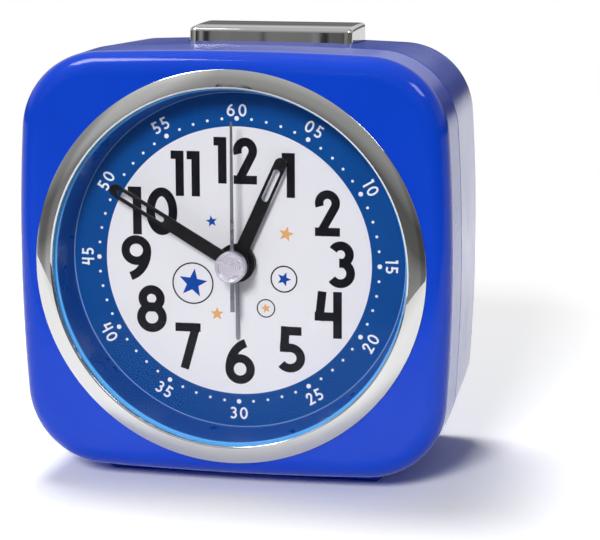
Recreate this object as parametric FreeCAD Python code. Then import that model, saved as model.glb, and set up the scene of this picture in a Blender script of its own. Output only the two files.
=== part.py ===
# Kids alarm clock: a blue rounded-square case with a round analogue dial, four hands,
# a chrome bezel, a chrome snooze bar on top and a low foot, run by a quartz alarm movement.
# X is to the right as seen from the front, Y points to the back, Z is up, in millimetres.
# The origin is the middle of the overall box, on the surface that the foot stands on.
# Depths are measured back from the front crest of the bezel.

import FreeCAD, Part
import math
import os
from FreeCAD import Placement, Rotation, Vector

# Case outline and shells
bezel_outer_radius = 41.4
case_side_margin = 4.7
case_top_margin = 3.35
back_taper = 1.65
corner_radius = 17.0
side_bow_radius = 420.0
top_bow_radius = 700.0
wall = 2.0
front_face_depth = 1.8
parting_depth = 19.0
back_depth = 56.0
front_edge_radius = 4.6
back_edge_radius = 3.0
groove_width = 0.5
groove_deep = 0.6
tongue_length = 2.0
tongue_thickness = 1.2
fit_gap = 0.1
seat_gap = 0.3
run_gap = 0.05
inner_edge_chamfer = 1.9

# How far a cutting shape runs past the face that it cuts
overcut = 1.0

# Room for the end of a square wire, whatever its turn, as a share of the wire's side
wire_end_share = 0.75

# Foot under the case
foot_height = 2.65
foot_length = 60.6
foot_front_depth = 13.8
foot_back_margin = 6.0
foot_corner_radius = 1.7

# Bezel, lens and the ring between lens and dial
bezel_width = 3.8
bezel_edge_height = 0.5
bezel_crown = 0.2
bezel_crest_width = 0.35
bezel_crest_drop = 0.25
bezel_lip_thickness = 1.1
neck_wall = 0.8
neck_end_depth = 5.2
lug_count = 6
lug_angle = 14.0
lug_height = 1.0
lug_length = 1.2
lens_seat_width = 0.5
lens_thickness = 1.0
ring_lip_width = 1.0
ring_cone_width = 1.1
ring_wall = 1.0
ring_neck_length = 1.2

# Dial and the plate that carries it and the movement
dial_seat_width = 4.9
dial_front_depth = 10.3
dial_thickness = 0.8
well_wall = 1.1
carrier_thickness = 2.0
ear_radius = 4.2

# Case screws at the corners
screw_side_inset = 11.6
screw_top_inset = 11.25
boss_radius = 3.4
pilot_radius = 1.1
pilot_end_depth = 5.4
screw_radius = 1.3
screw_tip_depth = 6.0
screw_head_radius = 2.6
screw_head_height = 1.8
screw_head_chamfer = 0.6
screw_shank_gap = 0.25
screw_pocket_depth = 22.0
cross_depth = 0.9
cross_length_share = 0.6
cross_width_share = 0.12
driver_hole_radius = 3.0
pocket_wall = 1.2

# Hands
hour_hand_length = 24.6
hour_hand_width = 2.9
hour_tip_width = 2.67
hour_hand_depth = 8.2
hour_slot_width = 1.5
hour_slot_start = 14.6
hour_slot_end = 22.0
hour_hub_radius = 4.1
minute_hand_length = 30.8
minute_hand_width = 2.8
minute_tip_width = 2.58
minute_hand_depth = 6.4
minute_slot_width = 1.2
minute_slot_start = 17.4
minute_slot_end = 29.0
minute_hub_radius = 3.2
hand_thickness = 0.5
hand_collar_wall = 0.9
second_hand_length = 30.2
second_hand_tail = 9.8
second_hand_width = 0.95
second_tip_width = 0.5
second_hand_depth = 5.0
second_hub_radius = 1.8
alarm_hand_length = 16.6
alarm_hand_width = 0.9
alarm_tip_width = 0.75
alarm_hand_depth = 9.4
alarm_hub_radius = 3.4
thin_hand_thickness = 0.3
cap_radius = 3.3
cap_front_depth = 2.7
cap_rim_width = 0.95
cap_dish_depth = 0.35
cap_edge = 0.3
cap_rim_lean = 0.1
hour_angle = 24.5
minute_angle = 300.5
second_angle = 0.0
alarm_angle = 180.0

# Arbors and tubes on the dial axis
seconds_arbor_radius = 0.5
minute_tube_radius = 1.2
hour_tube_radius = 1.9
alarm_tube_radius = 2.6
boss_tube_radius = 3.6
boss_tube_depth = 9.9

# Movement housing
movement_size = 56.0
movement_corner = 4.0
movement_back_depth = 27.4
plate_thickness = 1.2
mid_plate_depth = 19.3
mid_plate_thickness = 1.0
pillar_inset = 4.6
pillar_radius = 3.1
pin_radius = 2.2
movement_screw_radius = 0.9
movement_screw_head = 2.0
movement_screw_head_height = 1.2
movement_screw_chamfer = 0.4

# Gears: teeth, tooth proportions and where each layer starts
tooth_share = 0.40
addendum = 0.80
dedendum = 1.15
pressure_angle = 20.0
least_tip_share = 0.06
most_root_share = 0.36
root_lean_share = 0.7
motion_module = 0.5
cannon_teeth = 10
motion_wheel_teeth = 30
motion_pinion_teeth = 8
hour_wheel_teeth = 32
time_pinion_teeth = 14
alarm_wheel_teeth = 34
alarm_pinion_teeth = 16
third_module = 0.36
seconds_pinion_teeth = 8
third_wheel_teeth = 60
third_pinion_teeth = 8
centre_wheel_teeth = 64
seconds_module = 0.3
seconds_wheel_teeth = 48
small_pinion_teeth = 8
intermediate_wheel_teeth = 40
rotor_pinion_teeth = 8
wheel_thickness = 0.8
alarm_wheel_depth = 14.8
hour_wheel_depth = 16.2
motion_wheel_depth = 17.7
centre_wheel_depth = 20.7
third_wheel_depth = 22.9
seconds_wheel_depth = 24.3
intermediate_wheel_depth = 22.5
motion_angle = 180.0
time_pinion_angle = 130.0
third_angle = 270.0
intermediate_angle = 120.0
rotor_angle = 120.0
pivot_radius = 0.4
stud_radius = 0.8

# Rotor, stator and coil
magnet_radius = 2.6
magnet_depth = 23.9
magnet_length = 1.4
rotor_gap = 0.5
stator_depth = 24.2
stator_thickness = 0.8
stator_span = 24.0
stator_leg_width = 3.4
stator_base_height = 7.0
coil_offset = -3.0
coil_wall_gap = 0.6
coil_core_width = 3.0
coil_length = 15.0
coil_height = 5.8
coil_thickness = 4.2
coil_corner_share = 0.95
bobbin_flange = 0.8
bobbin_flange_rise = 0.15

# Circuit board with its parts
board_thickness = 0.8
board_wall_gap = 0.8
board_wheel_gap = 1.4
board_rib_width = 2.0
board_standoff = 0.5
chip_radius = 3.6
chip_height = 1.4
chip_offset_share = 0.2
crystal_offset_share = 0.125
crystal_radius = 1.0
crystal_length = 6.2
trip_spring_thickness = 0.25
trip_spring_width = 3.0
trip_spring_overlap = 2.2
trip_spring_bend_gap = 1.9
trip_spring_foot = 4.5

# Setting stems and knobs at the back
stem_radius = 2.0
stem_collar_radius = 3.0
stem_collar_length = 1.0
knob_radius = 7.4
knob_height = 6.6
knob_proud = 2.0
knob_ridges = 20
knob_ridge_depth = 0.5
knob_edge = 0.7
knob_dish_radius = 30.0
knob_dish_depth = 0.6
recess_depth = 5.0
recess_half_height = 9.6
recess_floor = 2.0

# Snooze bar with its shelf, springs and switch
bar_length = 36.2
bar_depth = 18.6
bar_back_gap = 1.0
bar_offset = 1.5
bar_rise = 2.25
bar_edge_radius = 0.9
bar_corner_radius = 1.6
bar_wall = 1.2
bar_skirt = 3.4
bar_flange = 0.7
bar_travel = 1.2
post_radius = 1.5
post_spacing = 22.0
post_reach = 0.2
shelf_drop = 15.0
shelf_thickness = 1.6
shelf_overhang = 1.4
spring_radius = 2.3
spring_wire = 0.5
spring_turns = 3
switch_size = 6.0
switch_height = 3.4
switch_button_radius = 1.7

# Alarm on and off switch at the back
alarm_switch_travel = 4.0
alarm_switch_grip = 4.4
alarm_switch_grip_height = 2.4
alarm_switch_body_width = 15.0
alarm_switch_body_height = 5.6
alarm_switch_body_depth = 4.6
alarm_switch_proud = 1.3
alarm_switch_wall = 1.0
alarm_switch_corner = 0.5
alarm_switch_base_lip = 0.8
alarm_switch_base_rise = 0.4
alarm_switch_room_gap = 0.2
alarm_switch_groove = 0.35

# Sounder and its grille
sounder_radius = 5.5
sounder_thickness = 4.0
sounder_chamfer = 0.5
sounder_rim = 1.0
sounder_port_radius = 1.0
sounder_pocket_share = 0.6
slot_count = 5
slot_pitch = 1.9
slot_width = 1.0
slot_end_radius = 5.2

# Battery bay, door, cell and contacts
bay_length = 59.0
bay_height = 15.6
bay_depth = 16.6
bay_centre_height = 18.6
bay_wall = 1.4
door_margin = 2.0
door_thickness = 1.2
door_gap = 0.3
door_tab_width = 6.0
door_tab_length = 1.5
door_tab_thickness = 0.7
door_tab_spacing = 34.0
latch_width = 9.0
latch_length = 4.2
latch_slit = 0.8
latch_slit_share = 1.5
thumb_depth = 0.9
thumb_margin = 1.0
door_rib_count = 4
door_rib_height = 0.5
door_rib_sink = 0.2
cell_radius = 7.1
cell_length = 49.2
cell_nub_radius = 2.6
cell_nub_length = 1.2
cell_chamfer = 0.5
contact_thickness = 0.4
contact_margin = 1.0
contact_corner = 1.5
contact_spring_turns = 2
contact_spring_wire = 0.7
contact_spring_radius = 4.9
contact_spring_tip = 2.4

# Places that follow from the sizes above
front_y = -(back_depth + knob_proud) / 2
case_width = 2 * (bezel_outer_radius + case_side_margin)
case_height = 2 * (bezel_outer_radius + case_top_margin)
dial_height = foot_height + case_height / 2
foot_back_depth = back_depth - foot_back_margin
bezel_inner_radius = bezel_outer_radius - bezel_width
lens_radius = bezel_inner_radius + lens_seat_width
ring_lip_radius = lens_radius - ring_lip_width
dial_visible_radius = ring_lip_radius - ring_cone_width
dial_radius = dial_visible_radius + dial_seat_width
screw_x = case_width / 2 - screw_side_inset
screw_z = case_height / 2 - screw_top_inset
screw_seat_depth = back_depth - screw_pocket_depth
bar_front_depth = back_depth - wall - bar_back_gap - bar_depth
bar_top_height = dial_height + case_height / 2 + bar_rise
shelf_height = bar_top_height - shelf_drop
post_end_height = shelf_height + post_reach
bezel_neck_radius = lens_radius + fit_gap + neck_wall
lens_depth = bezel_lip_thickness
ring_depth = lens_depth + lens_thickness
dial_back_depth = dial_front_depth + dial_thickness
carrier_back_depth = dial_back_depth + carrier_thickness
movement_front_depth = carrier_back_depth
movement_inside_depth = movement_back_depth - plate_thickness
well_radius = dial_radius + 2 * fit_gap
movement_half = movement_size / 2
movement_inside_half = movement_half - plate_thickness
pillar_offset = movement_half - pillar_inset
bay_top = bay_centre_height + bay_height / 2 + bay_wall
motion_distance = motion_module * (cannon_teeth + motion_wheel_teeth) / 2
time_distance = motion_module * (motion_wheel_teeth + time_pinion_teeth) / 2
third_distance = third_module * (seconds_pinion_teeth + third_wheel_teeth) / 2
centre_module = 2 * third_distance / (third_pinion_teeth + centre_wheel_teeth)
intermediate_distance = seconds_module * (seconds_wheel_teeth + small_pinion_teeth) / 2
rotor_distance = seconds_module * (intermediate_wheel_teeth + rotor_pinion_teeth) / 2


def polar(distance, degrees, start=(0.0, 0.0)):
    """Point in the dial plane, as (x, height above the dial centre)."""
    turn = math.radians(degrees)
    return (start[0] + distance * math.cos(turn), start[1] + distance * math.sin(turn))


motion_at = polar(motion_distance, motion_angle)
time_at = polar(time_distance, time_pinion_angle, motion_at)
alarm_at = (-time_at[0], time_at[1])
alarm_distance = math.hypot(*alarm_at)
alarm_module = 2 * alarm_distance / (alarm_wheel_teeth + alarm_pinion_teeth)
third_at = polar(third_distance, third_angle)
intermediate_at = polar(intermediate_distance, intermediate_angle)
rotor_at = polar(rotor_distance, rotor_angle, intermediate_at)
coil_at = (coil_offset, movement_inside_half - coil_wall_gap - bobbin_flange_rise - coil_height / 2)
board_width = 2 * (pillar_offset - pillar_radius - seat_gap)
board_bottom = movement_inside_half - board_wall_gap
board_height = board_bottom - alarm_module * (alarm_wheel_teeth / 2 + addendum) - board_wheel_gap
alarm_switch_rise = (shelf_height - shelf_thickness - seat_gap - alarm_switch_body_height / 2
                     - dial_height)
recess_bottom = dial_height + time_at[1] - recess_half_height - wall
sounder_drop = dial_height - (recess_bottom + bay_top) / 2
pillar_places = [(sx * pillar_offset, sz * pillar_offset) for sx in (-1, 1) for sz in (-1, 1)]
screw_places = [(sx * screw_x, sz * screw_z) for sx in (-1, 1) for sz in (-1, 1)]
back_axis = Vector(0, 1, 0)


def spot(place, depth):
    """Point at a place in the dial plane and a depth behind the bezel's crest."""
    return Vector(place[0], front_y + depth, dial_height + place[1])


def rod(radius, start, end, place=(0.0, 0.0)):
    return Part.makeCylinder(radius, end - start, spot(place, start), back_axis)


def tube(outer, inner, start, end, place=(0.0, 0.0)):
    return rod(outer, start, end, place).cut(rod(inner, start, end, place))


def block(x0, x1, depth0, depth1, z0, z1):
    """Box between two X values, two depths and two heights above the ground."""
    return Part.makeBox(x1 - x0, depth1 - depth0, z1 - z0, Vector(x0, front_y + depth0, z0))


def join(shapes):
    whole = shapes[0].fuse(shapes[1:]) if len(shapes) > 1 else shapes[0]
    return whole.removeSplitter()


def revolve(points):
    """Solid of revolution about the dial axis, from (radius, depth) points in order."""
    corners = [spot((radius, 0.0), depth) for radius, depth in points]
    face = Part.Face(Part.makePolygon(corners + corners[:1]))
    return face.revolve(spot((0, 0), 0), back_axis, 360)


def arc(start, middle, end):
    return Part.Arc(start, middle, end).toShape()


def outline(inset, depth):
    """Rounded square with bowed sides, made of eight tangent arcs, inset by one distance."""
    half_w, half_h = case_width / 2, case_height / 2
    side, top, corner = side_bow_radius, top_bow_radius, corner_radius
    side_centre = Vector(half_w - side, 0, 0)
    top_centre = Vector(0, 0, half_h - top)
    apart = top_centre - side_centre
    span = apart.Length
    reach = ((side - corner) ** 2 - (top - corner) ** 2 + span ** 2) / (2 * span)
    rise = math.sqrt((side - corner) ** 2 - reach ** 2)
    along = apart.normalize()
    across = Vector(-along.z, 0, along.x)
    if across.x < 0:
        across = across * -1
    centre = side_centre + along * reach + across * rise
    to_side = (centre - side_centre).normalize()
    to_top = (centre - top_centre).normalize()
    side_end = side_centre + to_side * (side - inset)
    top_end = top_centre + to_top * (top - inset)
    corner_middle = centre + (to_side + to_top).normalize() * (corner - inset)
    lift = spot((0, 0), depth)

    def put(point, sx, sz):
        return Vector(sx * point.x, 0, sz * point.z) + lift

    edges = []
    for sx, sz in ((1, 1), (-1, 1), (-1, -1), (1, -1)):
        first, last = (side_end, top_end) if sx * sz > 0 else (top_end, side_end)
        edges.append(arc(put(first, sx, sz), put(corner_middle, sx, sz), put(last, sx, sz)))
        if sx * sz > 0:
            crown = Vector(0, 0, half_h - inset)
            edges.append(arc(put(top_end, sx, sz), put(crown, 1, sz), put(top_end, -sx, sz)))
        else:
            crown = Vector(half_w - inset, 0, 0)
            edges.append(arc(put(side_end, sx, sz), put(crown, sx, 1), put(side_end, sx, -sz)))
    return Part.Wire(edges)


def prism(wire, length):
    return Part.Face(wire).extrude(Vector(0, length, 0))


def case_prism(inset, start, end):
    return prism(outline(inset, start), end - start)


def rear_loft(inset, start, end):
    """Tapered body behind the parting line, inset from the outer surface."""
    def section(depth):
        share = (depth - parting_depth) / (back_depth - parting_depth)
        return outline(inset + back_taper * share, depth)
    return Part.makeLoft([section(start), section(end)], True, True)


def face_edges(shape, depth):
    """Edges of the flat face that lies at one depth."""
    level = front_y + depth
    return [e for e in shape.Edges if abs(e.BoundBox.YMin - level) < 1e-4
            and abs(e.BoundBox.YMax - level) < 1e-4]


def flat_edges(shape):
    """Edges that lie in a plane across X, such as the end circles of a can along X."""
    return [e for e in shape.Edges if e.BoundBox.XLength < 1e-4]


def rounded_plate(width, height, corner, start, end, centre=(0.0, 0.0)):
    """Rectangular plate in the dial plane with rounded corners."""
    x0, x1 = centre[0] - width / 2, centre[0] + width / 2
    z0, z1 = dial_height + centre[1] - height / 2, dial_height + centre[1] + height / 2
    plate = block(x0, x1, start, end, z0, z1)
    upright = [e for e in plate.Edges if abs(e.tangentAt(e.FirstParameter).y) > 0.99]
    return plate.makeFillet(corner, upright)


def stadium(half_length, radius, start, end, centre):
    """Slot shape with round ends in the dial plane."""
    left = (centre[0] - half_length, centre[1])
    right = (centre[0] + half_length, centre[1])
    z = dial_height + centre[1]
    middle = block(left[0], right[0], start, end, z - radius, z + radius)
    return join([middle, rod(radius, start, end, left), rod(radius, start, end, right)])


def gear(teeth, module, start, thickness, place=(0.0, 0.0), phase=0.0):
    """Spur gear with straight-flanked teeth; one tooth is centred on the phase angle."""
    pitch = module * teeth / 2
    tip, root = pitch + addendum * module, pitch - dedendum * module
    step = 360.0 / teeth
    half_pitch_angle = step * tooth_share / 2
    lean = math.degrees(math.tan(math.radians(pressure_angle)) * module / pitch)
    half_tip = max(half_pitch_angle - lean * addendum, step * least_tip_share)
    half_root = min(half_pitch_angle + lean * dedendum * root_lean_share, step * most_root_share)
    corners = []
    for index in range(teeth):
        middle = phase + index * step
        for radius, offset in ((root, -half_root), (tip, -half_tip), (tip, half_tip), (root, half_root)):
            corners.append(spot(polar(radius, middle + offset, place), start))
    return prism(Part.makePolygon(corners + corners[:1]), thickness)


def mesh_phase(direction, first_teeth, first_phase, second_teeth):
    """Phase of a second gear that lies in one direction from the first and meshes with it."""
    shared = (direction - first_phase) * first_teeth / second_teeth
    return direction + 180.0 + shared - 180.0 / second_teeth


def turned(shape, degrees):
    """A hand drawn at twelve o'clock, turned clockwise as seen from the front."""
    centre = spot((0, 0), 0)
    copy = shape.copy()
    copy.rotate(centre, back_axis, degrees)
    return copy


def front_case():
    """Front shell: front wall with the dial opening, the dial well and four screw bosses."""
    outer = case_prism(0, front_face_depth, parting_depth)
    outer = outer.makeFillet(front_edge_radius, face_edges(outer, front_face_depth))
    inside_depth = front_face_depth + wall
    inner = case_prism(wall, inside_depth, parting_depth)
    inner = inner.makeChamfer(inner_edge_chamfer, face_edges(inner, inside_depth))
    shell = outer.cut(inner)
    ribs = [tube(well_radius + well_wall, well_radius, inside_depth, dial_back_depth)]
    ribs += [rod(boss_radius, inside_depth, dial_back_depth, place) for place in screw_places]
    body = join([shell] + ribs)
    cuts = [rod(bezel_neck_radius + fit_gap, front_face_depth - overcut, inside_depth + overcut)]
    cuts += [rod(pilot_radius, pilot_end_depth, dial_back_depth + overcut, place)
             for place in screw_places]
    return body.cut(cuts)


def rear_outer():
    shell = rear_loft(0, parting_depth, back_depth)
    return shell.makeFillet(back_edge_radius, face_edges(shell, back_depth))


def bar_box(grow, low, high):
    """Upright block with the snooze bar's outline, grown by a gap, between two heights."""
    x0 = bar_offset - bar_length / 2 - grow
    x1 = bar_offset + bar_length / 2 + grow
    box = block(x0, x1, bar_front_depth - grow, bar_front_depth + bar_depth + grow, low, high)
    upright = [e for e in box.Edges if abs(e.tangentAt(e.FirstParameter).z) > 0.99]
    return box.makeFillet(bar_corner_radius + grow, upright)


def bar_post_places():
    middle = bar_front_depth + bar_depth / 2
    return [(bar_offset + side * post_spacing / 2, middle) for side in (-1, 1)]


def upright_rod(radius, low, high, place):
    """Cylinder along Z at (x, depth)."""
    return Part.makeCylinder(radius, high - low, Vector(place[0], front_y + place[1], low))


def bay_box(grow, front_grow, back):
    half = bay_length / 2 + grow
    z0 = bay_centre_height - bay_height / 2 - grow
    z1 = bay_centre_height + bay_height / 2 + grow
    return block(-half, half, back_depth - bay_depth - front_grow, back, z0, z1)


def door_box(gap, start, end):
    half = bay_length / 2 + door_margin + gap
    z0 = bay_centre_height - bay_height / 2 - door_margin - gap
    z1 = bay_centre_height + bay_height / 2 + door_margin + gap
    return block(-half, half, start, end, z0, z1)


def rear_inside():
    """Space inside the rear shell, behind the tongue and in front of the back wall."""
    return rear_loft(wall, parting_depth, back_depth - wall)


def rear_supports():
    """What is moulded inside the rear shell before the openings are cut."""
    inside = back_depth - wall
    parts = [bay_box(bay_wall, bay_wall, inside)]
    half_x = abs(time_at[0])
    parts.append(stadium(half_x, recess_half_height + wall, back_depth - recess_depth - recess_floor,
                         inside, (0, time_at[1])))
    shelf = bar_box(shelf_overhang, shelf_height - shelf_thickness, shelf_height)
    x0, x1 = bar_offset - bar_length / 2, bar_offset + bar_length / 2
    bar_back = bar_front_depth + bar_depth
    web = block(x0, x1, bar_back - wall, inside, shelf_height - shelf_thickness, shelf_height)
    parts += [shelf, web]
    for side in (x0, x1 - wall):
        parts.append(block(side, side + wall, bar_back - bar_depth / 2, inside,
                           shelf_height - 2 * shelf_thickness, shelf_height))
    for place in screw_places:
        parts.append(rod(boss_radius, carrier_back_depth, inside, place))
        parts.append(rod(driver_hole_radius + pocket_wall, screw_seat_depth - wall, inside, place))
    parts.append(tube(sounder_radius + seat_gap + pocket_wall, sounder_radius + seat_gap,
                      inside - sounder_thickness * sounder_pocket_share, inside,
                      (0, -sounder_drop)))
    return parts


def tongue():
    """Lip on the rear shell that slips inside the front shell, and the ledge that carries it."""
    inset = wall + fit_gap
    start, end = parting_depth - tongue_length, parting_depth + wall
    lip = case_prism(inset, start, end)
    ledge = rear_loft(groove_deep, parting_depth, end)
    bore = case_prism(inset + tongue_thickness, start, end)
    return [lip.cut(bore), ledge.cut(bore)]


def grille_slots():
    """Round-ended slots whose lengths follow a circle."""
    slots = []
    for index in range(slot_count):
        rise = (index - (slot_count - 1) / 2) * slot_pitch
        half = math.sqrt(slot_end_radius ** 2 - rise ** 2) - slot_width / 2
        slots.append(stadium(half, slot_width / 2, back_depth - wall - overcut, back_depth + overcut,
                             (0, -sounder_drop + rise)))
    return slots


def alarm_switch_slot():
    half = (alarm_switch_grip + alarm_switch_travel) / 2 + seat_gap
    z = dial_height + alarm_switch_rise
    high = alarm_switch_grip_height / 2 + seat_gap
    return block(-half, half, back_depth - wall - overcut, back_depth + overcut, z - high, z + high)


def door_tab_places():
    return [side * door_tab_spacing / 2 for side in (-1, 1)]


def rear_cuts():
    """Openings through the rear shell."""
    half_x = abs(time_at[0])
    past = back_depth + overcut
    recess_start = back_depth - recess_depth
    cuts = [bay_box(0, 0, past)]
    cuts.append(door_box(door_gap, back_depth - door_thickness - fit_gap, past))
    cuts.append(stadium(half_x, recess_half_height, recess_start, past, (0, time_at[1])))
    for place in (time_at, alarm_at):
        cuts.append(rod(stem_radius + seat_gap, recess_start - recess_floor - overcut, past, place))
    for place in screw_places:
        cuts.append(rod(screw_radius + fit_gap, carrier_back_depth - overcut, screw_seat_depth, place))
        cuts.append(rod(driver_hole_radius, screw_seat_depth, past, place))
    cuts.append(bar_box(seat_gap, shelf_height + shelf_thickness, bar_top_height))
    for place in bar_post_places():
        cuts.append(upright_rod(post_radius + fit_gap, shelf_height - shelf_thickness - overcut,
                                shelf_height + overcut, place))
    tab_top = bay_centre_height - bay_height / 2 - door_margin
    for x in door_tab_places():
        half = door_tab_width / 2 + door_gap
        cuts.append(block(x - half, x + half, back_depth - door_thickness - 2 * door_tab_length,
                          back_depth - door_tab_thickness + door_gap / 2,
                          tab_top - door_tab_length - door_gap, tab_top + wall))
    return cuts + grille_slots() + [alarm_switch_slot()]


def rear_case():
    """Rear shell: tapered walls, back with recess, grille, bay and deep screw pockets."""
    shell = rear_outer().cut(rear_inside())
    supports = [part.common(rear_outer()) for part in rear_supports()]
    body = join([shell] + supports + tongue())
    rim = case_prism(-overcut, parting_depth, parting_depth + groove_width)
    rim = rim.cut(case_prism(groove_deep, parting_depth, parting_depth + groove_width))
    return body.cut([rim] + rear_cuts())


def foot():
    """Low foot whose top is shaped by the underside of the case."""
    top = dial_height - case_height / 2 + back_taper + overcut
    half = foot_length / 2
    profile = [(-half, top), (half, top), (half, 0), (-half, 0)]
    corners = [Vector(x, front_y + foot_front_depth, z) for x, z in profile]
    body = prism(Part.makePolygon(corners + corners[:1]), foot_back_depth - foot_front_depth)
    lower = [e for e in body.Edges if abs(e.tangentAt(e.FirstParameter).y) > 0.99
             and e.BoundBox.ZMax < foot_height / 2]
    body = body.makeFillet(foot_corner_radius, lower)
    case = case_prism(0, front_face_depth, parting_depth).fuse(
        rear_loft(0, parting_depth, back_depth))
    return body.cut(case)


def bezel():
    """Chrome ring with a bowed sloping face, a lip over the lens and a neck with snap lugs."""
    outer = spot((bezel_outer_radius, 0), front_face_depth - bezel_edge_height)
    crest = spot((bezel_inner_radius + bezel_crest_width, 0), 0)
    inner = spot((bezel_inner_radius, 0), bezel_crest_drop)
    slope = (crest - outer).normalize()
    crown = (outer + crest) * 0.5 + Vector(-slope.y, slope.x, 0) * bezel_crown
    seat = lens_radius + fit_gap
    points = [(bezel_inner_radius, bezel_lip_thickness), (seat, bezel_lip_thickness),
              (seat, neck_end_depth), (bezel_neck_radius, neck_end_depth),
              (bezel_neck_radius, front_face_depth), (bezel_outer_radius, front_face_depth)]
    corners = [inner] + [spot((radius, 0), depth) for radius, depth in points] + [outer]
    edges = [Part.makeLine(a, b) for a, b in zip(corners, corners[1:])]
    edges += [arc(outer, crown, crest), Part.makeLine(crest, inner)]
    ring = Part.Face(Part.Wire(edges)).revolve(spot((0, 0), 0), back_axis, 360)
    start = front_face_depth + wall + fit_gap
    lugs = []
    for index in range(lug_count):
        lug = revolve([(bezel_neck_radius - neck_wall / 2, start),
                       (bezel_neck_radius + lug_height, start),
                       (bezel_neck_radius + neck_wall / 4, start + lug_length),
                       (bezel_neck_radius - neck_wall / 2, start + lug_length)])
        wedge = lug_wedge(index * 360.0 / lug_count, start, lug_length)
        lugs.append(lug.common(wedge))
    return join([ring] + lugs)


def lug_wedge(direction, start, length):
    """Wedge of the dial axis that keeps one snap lug of a full ring."""
    reach = 2 * bezel_outer_radius
    corners = [spot((0, 0), start)]
    corners += [spot(polar(reach, direction + side * lug_angle / 2), start) for side in (-1, 1)]
    return prism(Part.makePolygon(corners + corners[:1]), length)


def lens():
    return rod(lens_radius, lens_depth, lens_depth + lens_thickness)


def dial_ring():
    """Conical ring between the lens and the dial."""
    neck_end = ring_depth + ring_neck_length
    lip_outer = lens_radius - fit_gap
    outer_low = dial_visible_radius + ring_wall
    flange = dial_radius - ring_wall
    return revolve([(ring_lip_radius, ring_depth), (lip_outer, ring_depth), (lip_outer, neck_end),
                    (outer_low + ring_wall / 2, dial_front_depth - ring_wall),
                    (flange, dial_front_depth - ring_wall), (flange, dial_front_depth),
                    (dial_visible_radius, dial_front_depth)])


def dial_plate():
    hole = boss_tube_radius + seat_gap
    return tube(dial_radius, hole, dial_front_depth, dial_back_depth)


def carrier():
    """Plate behind the dial, clamped at the case screws, which the movement hangs on."""
    start, end = dial_back_depth, carrier_back_depth
    parts = [rod(well_radius + well_wall, start, end)]
    for x, z in screw_places:
        reach = math.hypot(x, z)
        length = reach - well_radius / 2
        arm = block(well_radius / 2, well_radius / 2 + length, start, end,
                    dial_height - ear_radius, dial_height + ear_radius)
        arm.rotate(spot((0, 0), 0), back_axis, -math.degrees(math.atan2(z, x)))
        parts += [arm, rod(ear_radius, start, end, (x, z))]
    plate = join(parts)
    before, past = start - overcut, end + overcut
    cuts = [rod(boss_tube_radius + 2 * seat_gap, before, past)]
    cuts += [rod(screw_radius + fit_gap, before, past, place) for place in screw_places]
    cuts += [rod(movement_screw_radius, start + plate_thickness / 2, past, place)
             for place in pillar_places]
    return plate.cut(cuts)


def movement_front():
    """Front plate of the movement with its central tube and pillar spacers."""
    start = movement_front_depth
    plate = rounded_plate(movement_size, movement_size, movement_corner, start,
                          start + plate_thickness)
    parts = [plate, rod(boss_tube_radius, boss_tube_depth, start)]
    parts += [rod(pillar_radius, start, mid_plate_depth, place) for place in pillar_places]
    rib_front = start + plate_thickness
    for side in (-1, 1):
        x, half = side * board_width / 4, board_rib_width / 2
        z = dial_height - board_bottom
        parts.append(block(x - half, x + half, rib_front, rib_front + board_standoff,
                           z, z + board_height))
    body = join(parts)
    bore = alarm_tube_radius + run_gap
    cuts = [rod(bore, boss_tube_depth - overcut, rib_front + overcut)]
    cuts += [rod(pin_radius + fit_gap, rib_front, mid_plate_depth + overcut, place)
             for place in pillar_places]
    cuts += [rod(movement_screw_radius + fit_gap, start - overcut, mid_plate_depth, place)
             for place in pillar_places]
    for place in (time_at, alarm_at):
        cuts.append(rod(pivot_radius * 2 + run_gap, start + plate_thickness / 3,
                        start + 2 * plate_thickness, place))
    return body.cut(cuts)


def mid_plate():
    """Plate between the motion work and the going train, with the motion wheel's stud."""
    start, end = mid_plate_depth, mid_plate_depth + mid_plate_thickness
    size = movement_size - 2 * plate_thickness - 2 * seat_gap
    plate = rounded_plate(size, size, movement_corner - plate_thickness, start, end)
    stud = rod(stud_radius, hour_wheel_depth - seat_gap, start, motion_at)
    body = join([plate, stud])
    before, past = start - overcut, end + overcut
    cuts = [rod(minute_tube_radius + run_gap, before, past)]
    cuts += [rod(pin_radius + fit_gap, before, past, place) for place in pillar_places]
    cuts += [rod(stem_radius + run_gap, before, past, place) for place in (time_at, alarm_at)]
    cuts += [rod(pivot_radius + run_gap, before, past, place) for place in (third_at, rotor_at)]
    return body.cut(cuts)


def movement_back():
    """Box-shaped back of the movement with shouldered pillars and the train's bearings."""
    start = movement_front_depth + plate_thickness
    outer = rounded_plate(movement_size, movement_size, movement_corner, start, movement_back_depth)
    inner_size = movement_size - 2 * plate_thickness
    inner = rounded_plate(inner_size, inner_size, movement_corner - plate_thickness, start,
                          movement_inside_depth)
    parts = [outer.cut(inner)]
    shoulder = mid_plate_depth + mid_plate_thickness
    for place in pillar_places:
        parts.append(rod(pillar_radius, shoulder, movement_inside_depth, place))
        parts.append(rod(pin_radius, start, shoulder, place))
    parts.append(rod(stud_radius / 2, intermediate_wheel_depth - seat_gap, movement_inside_depth,
                     intermediate_at))
    for side in (-1, 1):
        leg = (coil_at[0] + side * (stator_span - stator_leg_width) / 2, rotor_at[1])
        parts.append(rod(stator_leg_width / 2, stator_depth + stator_thickness,
                         movement_inside_depth, leg))
    body = join(parts)
    past = movement_back_depth + overcut
    cuts = []
    for place in pillar_places:
        cuts.append(rod(movement_screw_radius + fit_gap, start - overcut, past, place))
    for place in ((0, 0), third_at, rotor_at):
        radius = seconds_arbor_radius if place == (0, 0) else pivot_radius
        cuts.append(rod(radius + run_gap, movement_inside_depth - overcut,
                        movement_back_depth - plate_thickness / 3, place))
    for place in (time_at, alarm_at):
        cuts.append(rod(stem_radius + run_gap, movement_inside_depth - overcut, past, place))
    return body.cut(cuts)


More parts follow.
